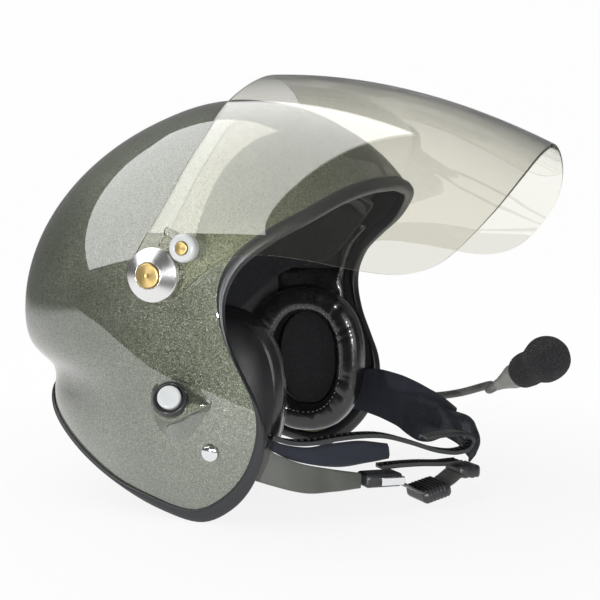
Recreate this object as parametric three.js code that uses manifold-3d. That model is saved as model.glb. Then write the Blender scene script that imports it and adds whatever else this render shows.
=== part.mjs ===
// Open-face flying helmet with a raised clear visor, ear cups, a boom microphone,
// a push-to-talk switch and a chin strap.
// Millimetres. +Z up, the wearer faces -Y, the wearer's left is +X.
// The origin is the middle of the head cavity, where the shell's own axes cross.
import * as THREE from "three";
import { mergeVertices } from "three/addons/utils/BufferGeometryUtils.js";
import Module from "manifold-3d";

const wasm = await Module();
wasm.setup();

// Driving sizes of the shell
const shellHalfWidth = 131;
const shellFrontReach = 117;
const shellBackReach = 142;
const shellCrownReach = 116.5;
const shellLowReach = 130;
const shellWall = 3.2;
const shellAxisTilt = -19.9; // degrees: the back of the egg-shaped shell hangs down
const shellPlanPower = 2.27;
const shellCrownPower = 2;
const lowSideTaperShare = 0.17;
const lowFrontTaperShare = 0.085;
const lowBackTaperShare = 0.2;

// Groove round the back of the shell, over the flared skirt
const grooveDepth = 10;
const grooveHeight = -54;
const grooveHalfHeight = 15;
const grooveFrontEnd = 12;
const grooveFullDepthAt = 92;

// The lower rim and face opening, seen from the side, as shares of the half width
const rimShares = [
  [-0.752, 0.48],
  [-0.735, 0.466],
  [-0.66, 0.413],
  [-0.56, 0.33],
  [-0.43, 0.24],
  [-0.32, 0.14],
  [-0.268, 0.03],
  [-0.262, -0.07],
  [-0.29, -0.2],
  [-0.345, -0.33],
  [-0.392, -0.44],
  [-0.408, -0.54],
  [-0.395, -0.64],
  [-0.34, -0.77],
  [-0.24, -0.88],
  [-0.1, -0.95],
  [0.1, -0.915],
  [0.32, -0.83],
  [0.53, -0.72],
  [0.7, -0.6],
  [0.83, -0.5],
  [0.905, -0.45],
  [0.925, -0.44],
];
const rimSteps = 30; // steps along one side of the rim
const crownSteps = 8; // steps from the crown to the rim
const poleLean = 30; // degrees from the vertical towards the back

// Rubber edge trim, a channel pressed over the rim
const trimLeg = 6;
const trimWall = 1.5;
const trimGap = 0.8; // radial clearance between trim and shell

// Foam liner and its cloth
const linerGap = 0.5;
const linerThickness = 20;
const liningThickness = 6;
const linerShares = [
  [-0.62, 0.56],
  [-0.5, 0.5],
  [-0.38, 0.41],
  [-0.26, 0.33],
  [-0.1, 0.29],
  [0.1, 0.25],
  [0.25, 0.1],
  [0.38, -0.1],
  [0.5, -0.22],
  [0.66, -0.3],
  [0.8, -0.31],
  [0.88, -0.3],
];
const liningShares = [
  [-0.66, 0.5],
  [-0.54, 0.42],
  [-0.4, 0.3],
  [-0.26, 0.16],
  [-0.1, 0.08],
  [0.1, 0.04],
  [0.25, -0.06],
  [0.38, -0.18],
  [0.5, -0.3],
  [0.66, -0.36],
  [0.8, -0.36],
  [0.88, -0.34],
];
const cheekThickness = 7;
// Each cheek panel's outline from the side, round the bolt head and the cup's block
const cheekShares = [
  [-0.37, 0.272],
  [-0.265, 0.17],
  [-0.209, 0.055],
  [-0.197, -0.02],
  [-0.197, -0.07],
  [-0.222, -0.2],
  [-0.277, -0.33],
  [-0.322, -0.44],
  [-0.333, -0.475],
  [-0.205, -0.475],
  [-0.2, -0.33],
  [0.1, -0.32],
  [0.2, -0.2],
  [0.2, 0.03],
  [-0.16, 0.03],
  [-0.175, 0.2],
  [-0.24, 0.27],
  [-0.31, 0.315],
];
const browPadThickness = 7;
const browHalfTurn = 46; // degrees
const browLow = 38; // degrees over the origin's level
const browHigh = 50;
const browDip = 0.2; // how far a pad's ends hang, in radians
const napeHalfTurn = 40;
const napeLow = -14;
const napeHigh = 8;
const napePadThickness = 8;

// Visor: a clear sheet, curved both ways, that turns on a pivot at each side
const pivotY = 1.5;
const pivotZ = 13.3;
const visorStandoff = 5; // how far the arms stand out over the shell
const visorHalfWidth = shellHalfWidth + visorStandoff;
const visorWall = 2;
const visorCrownHeight = 118.5; // above the pivots
const visorArchPower = 1.7;
const visorArmFlat = 14; // how far over the pivots the arms stay flat
const visorArmStraight = 34; // how far ahead of the pivots the arms stay parallel
const visorLength = 197; // from the pivots to the tip
const visorRiseShare = 0.0471;
const visorDropShare = 0.29; // fall of the centre line at the tip, of the length
const visorNarrowShare = 0.038;
const visorLobeRadius = 16;
// The sheet's outline from the side, from the pivots, as shares of the length
const visorRearShares = [
  [0.0927, 0.0],
  [0.0697, 0.034],
  [0.0317, 0.1],
  [-0.0023, 0.159],
  [-0.0243, 0.215],
  [-0.0463, 0.29],
  [-0.0713, 0.386],
  [-0.0813, 0.49],
  [-0.1003, 0.568],
  [-0.1233, 0.66],
];
const visorFrontShares = [
  [-1.0283, 0.48],
  [-0.9863, 0.39],
  [-0.9723, 0.33],
  [-0.9593, 0.285],
  [-0.9403, 0.24],
  [-0.9133, 0.19],
  [-0.8813, 0.145],
  [-0.8503, 0.108],
  [-0.8133, 0.07],
  [-0.7733, 0.04],
  [-0.7233, 0.02],
  [-0.6583, 0.012],
  [-0.5583, 0.022],
  [-0.4283, 0.045],
  [-0.3183, 0.057],
  [-0.2383, 0.053],
  [-0.1583, 0.02],
  [-0.0983, -0.03],
  [-0.0483, -0.066],
];

// Pivot hardware, from the shell outwards
const bushRadius = 9;
const boltRadius = 3;
const boltHeadRadius = 7;
const boltHeadDepth = 2.5;
const knobRadius = 14.8;
const knobDepth = 8.5;
const knobFlatRadius = 8;
const capRadius = 6.6;
const capDepth = 2;
const fitGap = 0.3;

// Lock knob and its arc slot
const lockTrackRadius = 24;
const lockAngle = 37.5; // degrees over the forward direction
const lockKnobRadius = 7.6;
const lockKnobDepth = 7;
const lockCapRadius = 3.5;
const lockStudRadius = 1.8;
const slotHalfWidth = 2.3;
const visorLowerTravel = 32;
const visorRaiseTravel = 10;

// Push-to-talk switch on a moulded boss
const switchY = -4.7;
const switchZ = -58;
const switchAxis = new THREE.Vector3(-0.88, -0.25, 0.4).normalize();
const switchRingRadius = 9.5;
const switchRingHeight = 7;
const switchBoreRadius = 7;
const buttonRadius = 6.4;
const buttonHeight = 9;
const buttonTravel = 2;
const bossRadius = 10.6;
const bossTailLength = 20;
const bossHeight = 9;
const bossRoot = 1.6; // how deep the boss's foot sits in the shell's wall
// The boss's foot on the shell, seen from the side, as shares of the half width
const bossFootShares = [
  [0.076, -0.387],
  [0.08, -0.448],
  [0.064, -0.524],
  [0.036, -0.578],
  [-0.021, -0.608],
  [-0.077, -0.605],
  [-0.134, -0.555],
  [-0.182, -0.486],
  [-0.212, -0.418],
  [-0.174, -0.372],
  [-0.11, -0.337],
  [-0.029, -0.33],
  [0.044, -0.349],
];
const switchBodyRadius = 6.7;
const switchBodyDepth = 8;

// Strap anchor rivets
const rivetY = -23.5;
const rivetZ = -84.3;
const rivetRadius = 4.9;
const rivetDome = 2.4;
const rivetShankRadius = 2;
const rivetWasherRadius = 7;
const rivetWasherDepth = 1.2;

// Ear cups
const earY = -11;
const earZ = -58;
const sealInset = 59; // from the shell's widest side in to the seal's face
const sealFaceX = shellHalfWidth - sealInset;
const sealDepth = 20;
const sealHalfLength = 42;
const sealHalfHeight = 52;
const sealRingWidth = 19;
const cupDepth = 18;
const cupWall = 2.4;
const cupRimShare = 0.93;
const foamDepth = 5;
const foamSpread = 1.1; // the disc reaches into the seal's soft inner edge by this much
const speakerRadius = 20;
const speakerDepth = 7;
const mountRadius = 13;

// Boom microphone on the left cheek
const boomRadius = 2.7;
const boomPivotRadius = 7;
const boomPivotDepth = 4;
const micFoamRadius = 14.4;
const micFoamRearRadius = 11.3;

// Chin strap
const webThickness = 1.6;
const eyeletGap = 1; // round the rivet, so that the strap can swing
const strapWallGap = 1.6; // between the shell's inner face and the webbing
const webWidth = 24;
const padThickness = 4.5;
const ratchetWidth = 9;
const ratchetThickness = 1.6;
const toothHeight = 1.4;

const buckleLength = 24;
const buckleWidth = 14;
const buckleDepth = 8;
const buckleCorner = 3;
const leverLength = 15;
const leverWidth = 5;
const leverDepth = 1.8;
const leverAhead = 4.5;
const sliderLength = 19;
const sliderWidth = 24;
const sliderDepth = 8.5;
const endLength = 15;
const endWidth = 18;
const endDepth = 8;
const boomY = -31.5;
const boomZ = -97;
const housingRadius = 5;
const housingLength = 38;
const housingBehind = 27.6; // the part behind the middle of the foam's rear lobe
const housingHalfWidth = 8; // where it meets the foam
const housingNeck = 3.4; // its radius where the boom ends
const micLobeSpacing = 15.7;

const overrun = 2; // how far a cutter passes the wall that it cuts
const deg = Math.PI / 180;

const colours = {
  paint: 0x7c846e,
  trim: 0x35373a,
  foamLiner: 0x2b2c2e,
  cloth: 0x1e1f26,
  clear: 0xdfe0cc,
  aluminium: 0xe0e0de,
  brass: 0xc9ad62,
  white: 0xf0f2f2,
  black: 0x222326,
  steel: 0xc4c5c7,
  leather: 0x26252a,
  webbing: 0x4a4c4e,
  boom: 0x6e6f6c,
};

const looks = {
  paint: { roughness: 0.3, metalness: 0.5 },
  trim: { roughness: 0.6, metalness: 0 },
  foamLiner: { roughness: 0.9, metalness: 0 },
  cloth: { roughness: 0.95, metalness: 0 },
  clear: { roughness: 0.08, metalness: 0 },
  aluminium: { roughness: 0.25, metalness: 1 },
  brass: { roughness: 0.35, metalness: 1 },
  white: { roughness: 0.35, metalness: 0 },
  black: { roughness: 0.45, metalness: 0 },
  steel: { roughness: 0.12, metalness: 1 },
  leather: { roughness: 0.4, metalness: 0 },
  webbing: { roughness: 0.9, metalness: 0 },
  boom: { roughness: 0.6, metalness: 0 },
};

const helmet = new THREE.Group();

function add(name, look, geometry) {
  const material = new THREE.MeshStandardMaterial({
    color: colours[look],
    ...looks[look],
  });
  const mesh = new THREE.Mesh(geometry, material);
  mesh.name = name;
  helmet.add(mesh);
  return mesh;
}

// Solids: geometry to manifold and back
function bare(geometry) {
  const copy = geometry.clone();
  copy.deleteAttribute("normal");
  copy.deleteAttribute("uv");
  return mergeVertices(copy, 1e-4);
}

function solid(geometry) {
  const g = bare(geometry);
  return new wasm.Manifold(
    new wasm.Mesh({
      numProp: 3,
      vertProperties: Float32Array.from(g.attributes.position.array),
      triVerts: Uint32Array.from(g.index.array),
    }),
  );
}

function geometryOf(shape) {
  const mesh = shape.getMesh();
  const g = new THREE.BufferGeometry();
  g.setAttribute("position", new THREE.BufferAttribute(mesh.vertProperties, 3));
  g.setIndex(new THREE.BufferAttribute(mesh.triVerts, 1));
  g.computeVertexNormals();
  return g;
}

function fromGrid(points, indices) {
  const g = new THREE.BufferGeometry();
  g.setAttribute("position", new THREE.Float32BufferAttribute(points.flat(), 3));
  g.setIndex(indices);
  g.computeVertexNormals();
  return g;
}

// The shell's outer surface: how far it lies from the origin in a direction
const tiltCos = Math.cos(shellAxisTilt * deg);
const tiltSin = Math.sin(shellAxisTilt * deg);

function shellValue(p) {
  const y = p.y * tiltCos + p.z * tiltSin;
  const z = -p.y * tiltSin + p.z * tiltCos;
  const low = z < 0 ? (z / shellLowReach) ** 2 : 0;
  const reach = y < 0 ? shellFrontReach : shellBackReach;
  const taper = y < 0 ? lowFrontTaperShare : lowBackTaperShare;
  const width = shellHalfWidth * (1 - lowSideTaperShare * low);
  const length = reach * (1 - taper * low);
  const plan =
    (Math.abs(p.x) / width) ** shellPlanPower + (Math.abs(y) / length) ** shellPlanPower;
  const rise = z > 0 ? (z / shellCrownReach) ** shellCrownPower : 0;
  return plan ** (shellCrownPower / shellPlanPower) + rise - 1;
}

function smooth(x) {
  const t = Math.min(Math.max(x, 0), 1);
  return t * t * (3 - 2 * t);
}

function grooveAt(p) {
  const along = smooth((p.y - grooveFrontEnd) / (grooveFullDepthAt - grooveFrontEnd));
  const across = (p.z - grooveHeight) / grooveHalfHeight;
  return grooveDepth * along * Math.exp(-across * across);
}

function shellRadius(direction) {
  let near = 0;
  let far = shellHalfWidth + shellBackReach;
  const p = new THREE.Vector3();
  for (let i = 0; i < 34; i++) {
    const middle = (near + far) / 2;
    p.copy(direction).multiplyScalar(middle);
    if (shellValue(p) < 0) near = middle;
    else far = middle;
  }
  return near - grooveAt(p);
}

// A point on the shell at a side-view place, pushed in by an inset
function shellPoint(y, z, inset, side) {
  let near = 0;
  let far = shellHalfWidth * 1.2;
  const p = new THREE.Vector3();
  for (let i = 0; i < 34; i++) {
    const x = (near + far) / 2;
    p.set(x, y, z);
    const reach = p.length();
    if (reach < shellRadius(p.clone().normalize()) - inset) near = x;
    else far = x;
  }
  return new THREE.Vector3(near * side, y, z);
}

// The outward normal of the shell's surface
function shellNormal(p) {
  const step = shellWall / 10;
  const slope = (axis) => {
    const a = p.clone().addScaledVector(axis, step);
    const b = p.clone().addScaledVector(axis, -step);
    const past = (q) => q.length() - shellRadius(q.clone().normalize());
    return past(a) - past(b);
  };
  return new THREE.Vector3(
    slope(new THREE.Vector3(1, 0, 0)),
    slope(new THREE.Vector3(0, 1, 0)),
    slope(new THREE.Vector3(0, 0, 1)),
  ).normalize();
}

// Directions from the origin to a closed rim, brow to nape and back on the other side
function rimDirections(shares, steps) {
  const points = shares.map(
    ([y, z]) => new THREE.Vector3(0, y * shellHalfWidth, z * shellHalfWidth),
  );
  const curve = new THREE.CatmullRomCurve3(points, false, "centripetal");
  const places = curve.getSpacedPoints(steps);
  const right = places.map((p, i) => {
    const onCentre = i === 0 || i === steps;
    const found = onCentre ? p.clone() : shellPoint(p.y, p.z, 0, -1);
    return found.normalize();
  });
  const left = right
    .slice(1, steps)
    .reverse()
    .map((d) => new THREE.Vector3(-d.x, d.y, d.z));
  return right.concat(left);
}

const pole = new THREE.Vector3(0, Math.sin(poleLean * deg), Math.cos(poleLean * deg));

function between(from, to, share) {
  const angle = from.angleTo(to);
  const a = Math.sin((1 - share) * angle) / Math.sin(angle);
  const b = Math.sin(share * angle) / Math.sin(angle);
  return from.clone().multiplyScalar(a).addScaledVector(to, b).normalize();
}

// A dome between two insets, closed round its rim, its last ring a band's width from it
function dome(directions, steps, outerInset, innerInset, band) {
  const count = directions.length;
  const rimBand = directions.map((d) => band / (shellRadius(d) * d.angleTo(pole)));
  const points = [];
  const indices = [];
  const layer = (inset) => {
    const start = points.length;
    points.push(
      pole
        .clone()
        .multiplyScalar(shellRadius(pole) - inset)
        .toArray(),
    );
    for (let j = 1; j <= steps; j++)
      for (let i = 0; i < count; i++) {
        const share = j === steps ? 1 : (j / (steps - 1)) * (1 - rimBand[i]);
        const d = between(pole, directions[i], share);
        points.push(d.multiplyScalar(shellRadius(d) - inset).toArray());
      }
    return start;
  };
  const outer = layer(outerInset);
  const inner = layer(innerInset);
  const at = (start, j, i) => start + 1 + (j - 1) * count + (i % count);
  // The left half is the right half's mirror image, its triangles included
  const quad = (a, b, c, d, mirrored) => {
    if (mirrored) indices.push(a, d, c, a, c, b);
    else indices.push(a, d, b, b, d, c);
  };
  for (let i = 0; i < count; i++) {
    const left = i >= count / 2;
    indices.push(outer, at(outer, 1, i), at(outer, 1, i + 1));
    indices.push(inner, at(inner, 1, i + 1), at(inner, 1, i));
    for (let j = 1; j < steps; j++) {
      const o = [at(outer, j, i), at(outer, j, i + 1)];
      const p = [at(outer, j + 1, i + 1), at(outer, j + 1, i)];
      quad(o[0], o[1], p[0], p[1], left);
      const e = [at(inner, j, i), at(inner, j, i + 1)];
      const f = [at(inner, j + 1, i + 1), at(inner, j + 1, i)];
      if (left) indices.push(e[0], f[0], f[1], e[0], e[1], f[0]);
      else indices.push(e[0], e[1], f[1], e[1], f[0], f[1]);
    }
    quad(at(outer, steps, i), at(outer, steps, i + 1), at(inner, steps, i + 1), at(inner, steps, i), left);
  }
  return outward(fromGrid(points, indices));
}

// A closed slab from a grid of outer and inner points
function slab(outerRows, innerRows) {
  const rows = outerRows.length;
  const columns = outerRows[0].length;
  const points = [...outerRows.flat(), ...innerRows.flat()];
  const indices = [];
  const o = (r, c) => r * columns + c;
  const n = (r, c) => rows * columns + r * columns + c;
  const quad = (a, b, c, d) => indices.push(a, b, c, a, c, d);
  for (let r = 0; r < rows - 1; r++)
    for (let c = 0; c < columns - 1; c++) {
      quad(o(r, c), o(r, c + 1), o(r + 1, c + 1), o(r + 1, c));
      quad(n(r, c), n(r + 1, c), n(r + 1, c + 1), n(r, c + 1));
    }
  for (let c = 0; c < columns - 1; c++) {
    quad(o(0, c), n(0, c), n(0, c + 1), o(0, c + 1));
    quad(o(rows - 1, c), o(rows - 1, c + 1), n(rows - 1, c + 1), n(rows - 1, c));
  }
  for (let r = 0; r < rows - 1; r++) {
    quad(o(r, 0), o(r + 1, 0), n(r + 1, 0), n(r, 0));
    quad(o(r, columns - 1), n(r, columns - 1), n(r + 1, columns - 1), o(r + 1, columns - 1));
  }
  return fromGrid(points, indices);
}

// A slab turned right way out whatever way its grid runs
function outward(geometry) {
  const p = geometry.attributes.position;
  const index = geometry.index.array;
  let volume = 0;
  const a = new THREE.Vector3();
  const b = new THREE.Vector3();
  const c = new THREE.Vector3();
  for (let i = 0; i < index.length; i += 3) {
    a.fromBufferAttribute(p, index[i]);
    b.fromBufferAttribute(p, index[i + 1]);
    c.fromBufferAttribute(p, index[i + 2]);
    volume += a.dot(b.cross(c));
  }
  if (volume < 0)
    for (let i = 0; i < index.length; i += 3)
      [index[i + 1], index[i + 2]] = [index[i + 2], index[i + 1]];
  geometry.computeVertexNormals();
  return geometry;
}

// A closed loop of cross-sections, swept round
function ring(sections) {
  const count = sections.length;
  const sides = sections[0].length;
  const indices = [];
  for (let i = 0; i < count; i++)
    for (let j = 0; j < sides; j++) {
      const a = i * sides + j;
      const b = i * sides + ((j + 1) % sides);
      const c = ((i + 1) % count) * sides + ((j + 1) % sides);
      const d = ((i + 1) % count) * sides + j;
      indices.push(a, b, c, a, c, d);
    }
  return outward(fromGrid(sections.flat(), indices));
}

// An open run of cross-sections with flat ends
function run(sections) {
  const count = sections.length;
  const sides = sections[0].length;
  const points = sections.flat();
  const indices = [];
  for (let i = 0; i < count - 1; i++)
    for (let j = 0; j < sides; j++) {
      const a = i * sides + j;
      const b = i * sides + ((j + 1) % sides);
      const c = (i + 1) * sides + ((j + 1) % sides);
      const d = (i + 1) * sides + j;
      indices.push(a, b, c, a, c, d);
    }
  const last = (count - 1) * sides;
  for (let j = 1; j < sides - 1; j++) {
    indices.push(0, j + 1, j);
    indices.push(last, last + j, last + j + 1);
  }
  return outward(fromGrid(points, indices));
}

// Turned pieces: a profile of [radius, height] about an axis at a place
function turned(profile, place, axis, sides = 22) {
  const g = new THREE.LatheGeometry(
    profile.map(([r, h]) => new THREE.Vector2(r, h)),
    sides,
  );
  g.applyQuaternion(
    new THREE.Quaternion().setFromUnitVectors(new THREE.Vector3(0, 1, 0), axis),
  );
  g.translate(place.x, place.y, place.z);
  return outward(bare(g));
}

function rod(radius, from, to, sides = 24) {
  const axis = to.clone().sub(from);
  const length = axis.length();
  return turned(
    [
      [0, 0],
      [radius, 0],
      [radius, length],
      [0, length],
    ],
    from,
    axis.normalize(),
    sides,
  );
}

// A strip along points with its own width direction, a width and a thickness at each
function strip(route, steps, widthAt, thicknessAt, across, lift = 0) {
  const curve = new THREE.CatmullRomCurve3(route, false, "centripetal");
  const sections = [];
  for (let i = 0; i <= steps; i++) {
    const u = i / steps;
    const p = curve.getPointAt(u);
    const t = curve.getTangentAt(u);
    const w = across(u).clone();
    w.addScaledVector(t, -w.dot(t)).normalize();
    const n = new THREE.Vector3().crossVectors(t, w).normalize();
    const half = widthAt(u, i) / 2;
    const thick = thicknessAt(u, i);
    const corner = (a, b) =>
      p.clone().addScaledVector(w, a).addScaledVector(n, b).toArray();
    sections.push([
      corner(-half, lift),
      corner(half, lift),
      corner(half, lift + thick),
      corner(-half, lift + thick),
    ]);
  }
  return run(sections);
}

// Shell, with its moulded switch boss and its holes
const rimRing = rimDirections(rimShares, rimSteps);
const outX = (side) => new THREE.Vector3(side, 0, 0);
const sides = [
  ["right", -1],
  ["left", 1],
];

const switchSeat = shellPoint(switchY, switchZ, 0, -1);
const switchFoot = switchSeat.clone().addScaledVector(switchAxis, -bossHeight);
const bossTop = switchSeat.clone().addScaledVector(switchAxis, bossHeight);
const bossForward = new THREE.Vector3(0, -1, 0)
  .addScaledVector(switchAxis, switchAxis.y)
  .normalize();
const bossSide = new THREE.Vector3().crossVectors(switchAxis, bossForward);

function teardrop(radius, tail, steps) {
  const outline = [];
  const open = Math.acos(radius / tail);
  for (let i = 0; i <= steps; i++) {
    const a = open + (i / steps) * (2 * Math.PI - 2 * open);
    outline.push([Math.cos(a) * radius, Math.sin(a) * radius]);
  }
  outline.push([tail, 0]);
  return outline;
}

function bossSolid() {
  const corners = bossFootShares.map(([y, z]) =>
    shellPoint(y * shellHalfWidth, z * shellHalfWidth, bossRoot, -1),
  );
  const footLine = new THREE.CatmullRomCurve3(corners, true, "centripetal");
  const foot = footLine.getSpacedPoints(36).map((p) => p.toArray());
  const levels = [
    [bossHeight * 0.85, bossRadius * 1.04],
    [bossHeight, bossRadius],
  ];
  const top = levels.flatMap(([height, radius]) =>
    teardrop(radius, (radius * bossTailLength) / bossRadius, 20).map(([a, b]) =>
      switchSeat
        .clone()
        .addScaledVector(switchAxis, height)
        .addScaledVector(bossForward, a)
        .addScaledVector(bossSide, b)
        .toArray(),
    ),
  );
  return wasm.Manifold.hull([...foot, ...top]);
}

const cavity = solid(
  dome(rimRing, crownSteps, shellWall, shellWall + bossHeight * 4, trimLeg),
);
const switchBore = solid(
  rod(
    switchBoreRadius,
    switchSeat.clone().addScaledVector(switchAxis, -bossHeight - shellWall * 4),
    bossTop.clone().addScaledVector(switchAxis, overrun),
  ),
);
let shell = solid(dome(rimRing, crownSteps, 0, shellWall, trimLeg))
  .add(bossSolid().subtract(cavity))
  .subtract(switchBore);

const pivotShell = shellPoint(pivotY, pivotZ, 0, -1);
const lockY = pivotY - lockTrackRadius * Math.cos(lockAngle * deg);
const lockZ = pivotZ + lockTrackRadius * Math.sin(lockAngle * deg);
const lockShell = shellPoint(lockY, lockZ, 0, -1);

function along(side, x, y, z) {
  return new THREE.Vector3(side * x, y, z);
}

function hole(side, radius, y, z) {
  return solid(
    rod(
      radius,
      along(side, sealFaceX + sealDepth, y, z),
      along(side, visorHalfWidth * 1.2, y, z),
    ),
  );
}

for (const [, side] of sides) {
  shell = shell.subtract(hole(side, boltRadius + fitGap, pivotY, pivotZ));
  shell = shell.subtract(hole(side, lockStudRadius + fitGap, lockY, lockZ));
  const seat = shellPoint(rivetY, rivetZ, 0, side);
  const normal = shellNormal(seat);
  const inside = seat.clone().addScaledVector(normal, -shellWall * 3);
  const outside = seat.clone().addScaledVector(normal, shellWall);
  shell = shell.subtract(solid(rod(rivetShankRadius + fitGap, inside, outside)));
}
add("shell", "paint", geometryOf(shell));

// Edge trim: a channel section at each step of the rim, given by its rise up the shell
// and its depth inwards from the outer face
const trimProfile = [
  [trimLeg, -trimGap],
  [trimLeg * 0.75, -trimGap - trimWall * 0.8],
  [0, -trimGap - trimWall],
  [-trimGap - trimWall * 0.6, -trimWall * 0.5],
  [-trimGap - trimWall, shellWall / 2],
  [-trimGap - trimWall * 0.6, shellWall + trimWall * 0.5],
  [0, shellWall + trimGap + trimWall],
  [trimLeg * 0.75, shellWall + trimGap + trimWall * 0.8],
  [trimLeg, shellWall + trimGap],
  [0, shellWall + trimGap],
  [-trimGap, shellWall + trimGap],
  [-trimGap, -trimGap],
  [0, -trimGap],
];

function trimSection(direction) {
  const reach = shellRadius(direction) * direction.angleTo(pole);
  const top = between(direction, pole, trimLeg / reach);
  return trimProfile.map(([rise, depth]) => {
    const d = between(direction, pole, rise / reach);
    const flat = rise > 0 ? rise / trimLeg : 0;
    const chord = shellRadius(direction) * (1 - flat) + shellRadius(top) * flat;
    return d.multiplyScalar(chord - depth).toArray();
  });
}

const trimRing = rimRing.map(trimSection);
add("edge_trim", "trim", ring(trimRing));

// Foam liner and its cloth lining: layers that follow the shell, cut off at their own rims
function layer(outerInset, thickness) {
  const innerInset = outerInset + thickness;
  return solid(dome(rimRing, crownSteps, outerInset, innerInset, trimLeg));
}

function above(shares) {
  const directions = rimDirections(shares, 18);
  const depth = linerThickness * 3;
  return solid(dome(directions, 6, -linerThickness, depth, linerThickness));
}

const linerOut = shellWall + linerGap;
const liningOut = linerOut + linerThickness + linerGap;
const foamLiner = layer(linerOut, linerThickness).intersect(above(linerShares));
add("foam_liner", "foamLiner", geometryOf(foamLiner));
const lining = layer(liningOut, liningThickness).intersect(above(liningShares));
add("comfort_lining", "cloth", geometryOf(lining));

// Cheek panels on the shell's inner wall, between the ear cups and the face opening
function cheekPanel(side) {
  const outline = new THREE.Shape(
    cheekShares.map(([y, z]) => {
      return new THREE.Vector2(y * shellHalfWidth - pivotY, z * shellHalfWidth - pivotZ);
    }),
  );
  const ends = [sealFaceX * side, visorHalfWidth * side].sort((a, b) => a - b);
  return layer(linerOut, cheekThickness).intersect(sidePrism(outline, ...ends));
}

for (const [name, side] of sides) add("cheek_panel_" + name, "leather", geometryOf(cheekPanel(side)));

// A wedge over the front or back, between two heights seen from the origin
function wedge(ahead, halfTurn, turnSteps, low, high) {
  const near = [];
  const far = [];
  for (const edge of [low, high]) {
    const nearRow = [];
    const farRow = [];
    for (let c = 0; c <= turnSteps; c++) {
      const share = -1 + (2 * c) / turnSteps;
      const turn = share * halfTurn;
      const rise = edge - browDip * share * share;
      const d = new THREE.Vector3(
        Math.sin(turn) * Math.cos(rise),
        ahead * Math.cos(turn) * Math.cos(rise),
        Math.sin(rise),
      );
      nearRow.push(d.clone().multiplyScalar(shellHalfWidth / 4).toArray());
      farRow.push(d.clone().multiplyScalar(shellHalfWidth * 2).toArray());
    }
    near.push(nearRow);
    far.push(farRow);
  }
  return solid(outward(slab(far, near)));
}

const padOut = liningOut + liningThickness + linerGap;
const browWedge = wedge(-1, browHalfTurn * deg, 10, browLow * deg, browHigh * deg);
const browPad = layer(padOut, browPadThickness).intersect(browWedge);
add("brow_pad", "cloth", geometryOf(browPad));
const napeWedge = wedge(1, napeHalfTurn * deg, 8, napeLow * deg, napeHigh * deg);
const napePad = layer(padOut, napePadThickness).intersect(napeWedge);
add("nape_pad", "cloth", geometryOf(napePad));

// Ear cups: dished plastic cup, speaker, foam disc, seal and mounting block
function ovalRing(x, halfLength, halfHeight, side, count) {
  const points = [];
  for (let i = 0; i < count; i++) {
    const a = (i / count) * 2 * Math.PI;
    const c = Math.cos(a);
    const s = Math.sin(a);
    const power = 2 / 2.3;
    points.push([
      side * x,
      earY + Math.sign(c) * Math.abs(c) ** power * halfLength,
      earZ + Math.sign(s) * Math.abs(s) ** power * halfHeight,
    ]);
  }
  return points;
}

const cupBackX = sealFaceX + sealDepth + fitGap;
const cupLength = sealHalfLength * cupRimShare;
const cupHeight = sealHalfHeight * cupRimShare;

function cup(side) {
  const outer = [
    [0, 1],
    [0.35, 0.98],
    [0.7, 0.86],
    [0.92, 0.66],
    [1, 0.42],
  ];
  const n = 24;
  const rings = outer.map(([depth, size]) =>
    ovalRing(cupBackX + depth * cupDepth, cupLength * size, cupHeight * size, side, n),
  );
  const inner = outer.map(([depth, size]) =>
    ovalRing(
      cupBackX - overrun + depth * (cupDepth - cupWall + overrun),
      cupLength * size - cupWall,
      cupHeight * size - cupWall,
      side,
      n,
    ),
  );
  return solid(run(rings)).subtract(solid(run(inner)));
}

function seal(side) {
  const sections = [];
  const n = 32;
  const around = 8;
  for (let i = 0; i < n; i++) {
    const a = (i / n) * 2 * Math.PI;
    const c = Math.cos(a);
    const s = Math.sin(a);
    const power = 2 / 2.3;
    const section = [];
    for (let j = 0; j < around; j++) {
      const b = (j / around) * 2 * Math.PI + Math.PI / around;
      const flat = (v) => Math.sign(v) * Math.abs(v) ** 0.75;
      const inOut = -flat(Math.cos(b)) * (sealRingWidth / 2);
      const depth = (flat(Math.sin(b)) * sealDepth) / 2;
      const length = sealHalfLength - sealRingWidth / 2 + inOut;
      const height = sealHalfHeight - sealRingWidth / 2 + inOut;
      section.push([
        side * (sealFaceX + sealDepth / 2 + depth),
        earY + Math.sign(c) * Math.abs(c) ** power * length,
        earZ + Math.sign(s) * Math.abs(s) ** power * height,
      ]);
    }
    sections.push(section);
  }
  return ring(sections);
}

for (const [name, side] of sides) {
  add("ear_cup_" + name, "black", geometryOf(cup(side)));
  add("ear_seal_" + name, "leather", seal(side));
  const foamLength = sealHalfLength - sealRingWidth + foamSpread;
  const foamHeight = sealHalfHeight - sealRingWidth + foamSpread;
  const foamX = cupBackX - foamDepth - fitGap;
  add(
    "ear_foam_" + name,
    "cloth",
    run([
      ovalRing(foamX, foamLength * 0.94, foamHeight * 0.94, side, 24),
      ovalRing(foamX + foamDepth * 0.4, foamLength, foamHeight, side, 24),
      ovalRing(foamX + foamDepth, foamLength, foamHeight, side, 24),
    ]),
  );
  add(
    "speaker_" + name,
    "black",
    turned(
      [
        [0, 0],
        [speakerRadius, 0],
        [speakerRadius, speakerDepth * 0.3],
        [speakerRadius * 0.8, speakerDepth],
        [speakerRadius * 0.6, speakerDepth],
        [speakerRadius * 0.6, cupDepth - cupWall - fitGap],
        [0, cupDepth - cupWall - fitGap],
      ],
      along(side, cupBackX, earY, earZ),
      outX(side),
      24,
    ),
  );
  const blockFrom = along(side, cupBackX + cupDepth + fitGap, earY, earZ);
  const wallX = Math.abs(shellPoint(earY, earZ, shellWall, side).x);
  const blockTo = along(side, wallX - shellWall, earY, earZ);
  add("cup_mount_" + name, "foamLiner", rod(mountRadius, blockFrom, blockTo));
}

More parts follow.
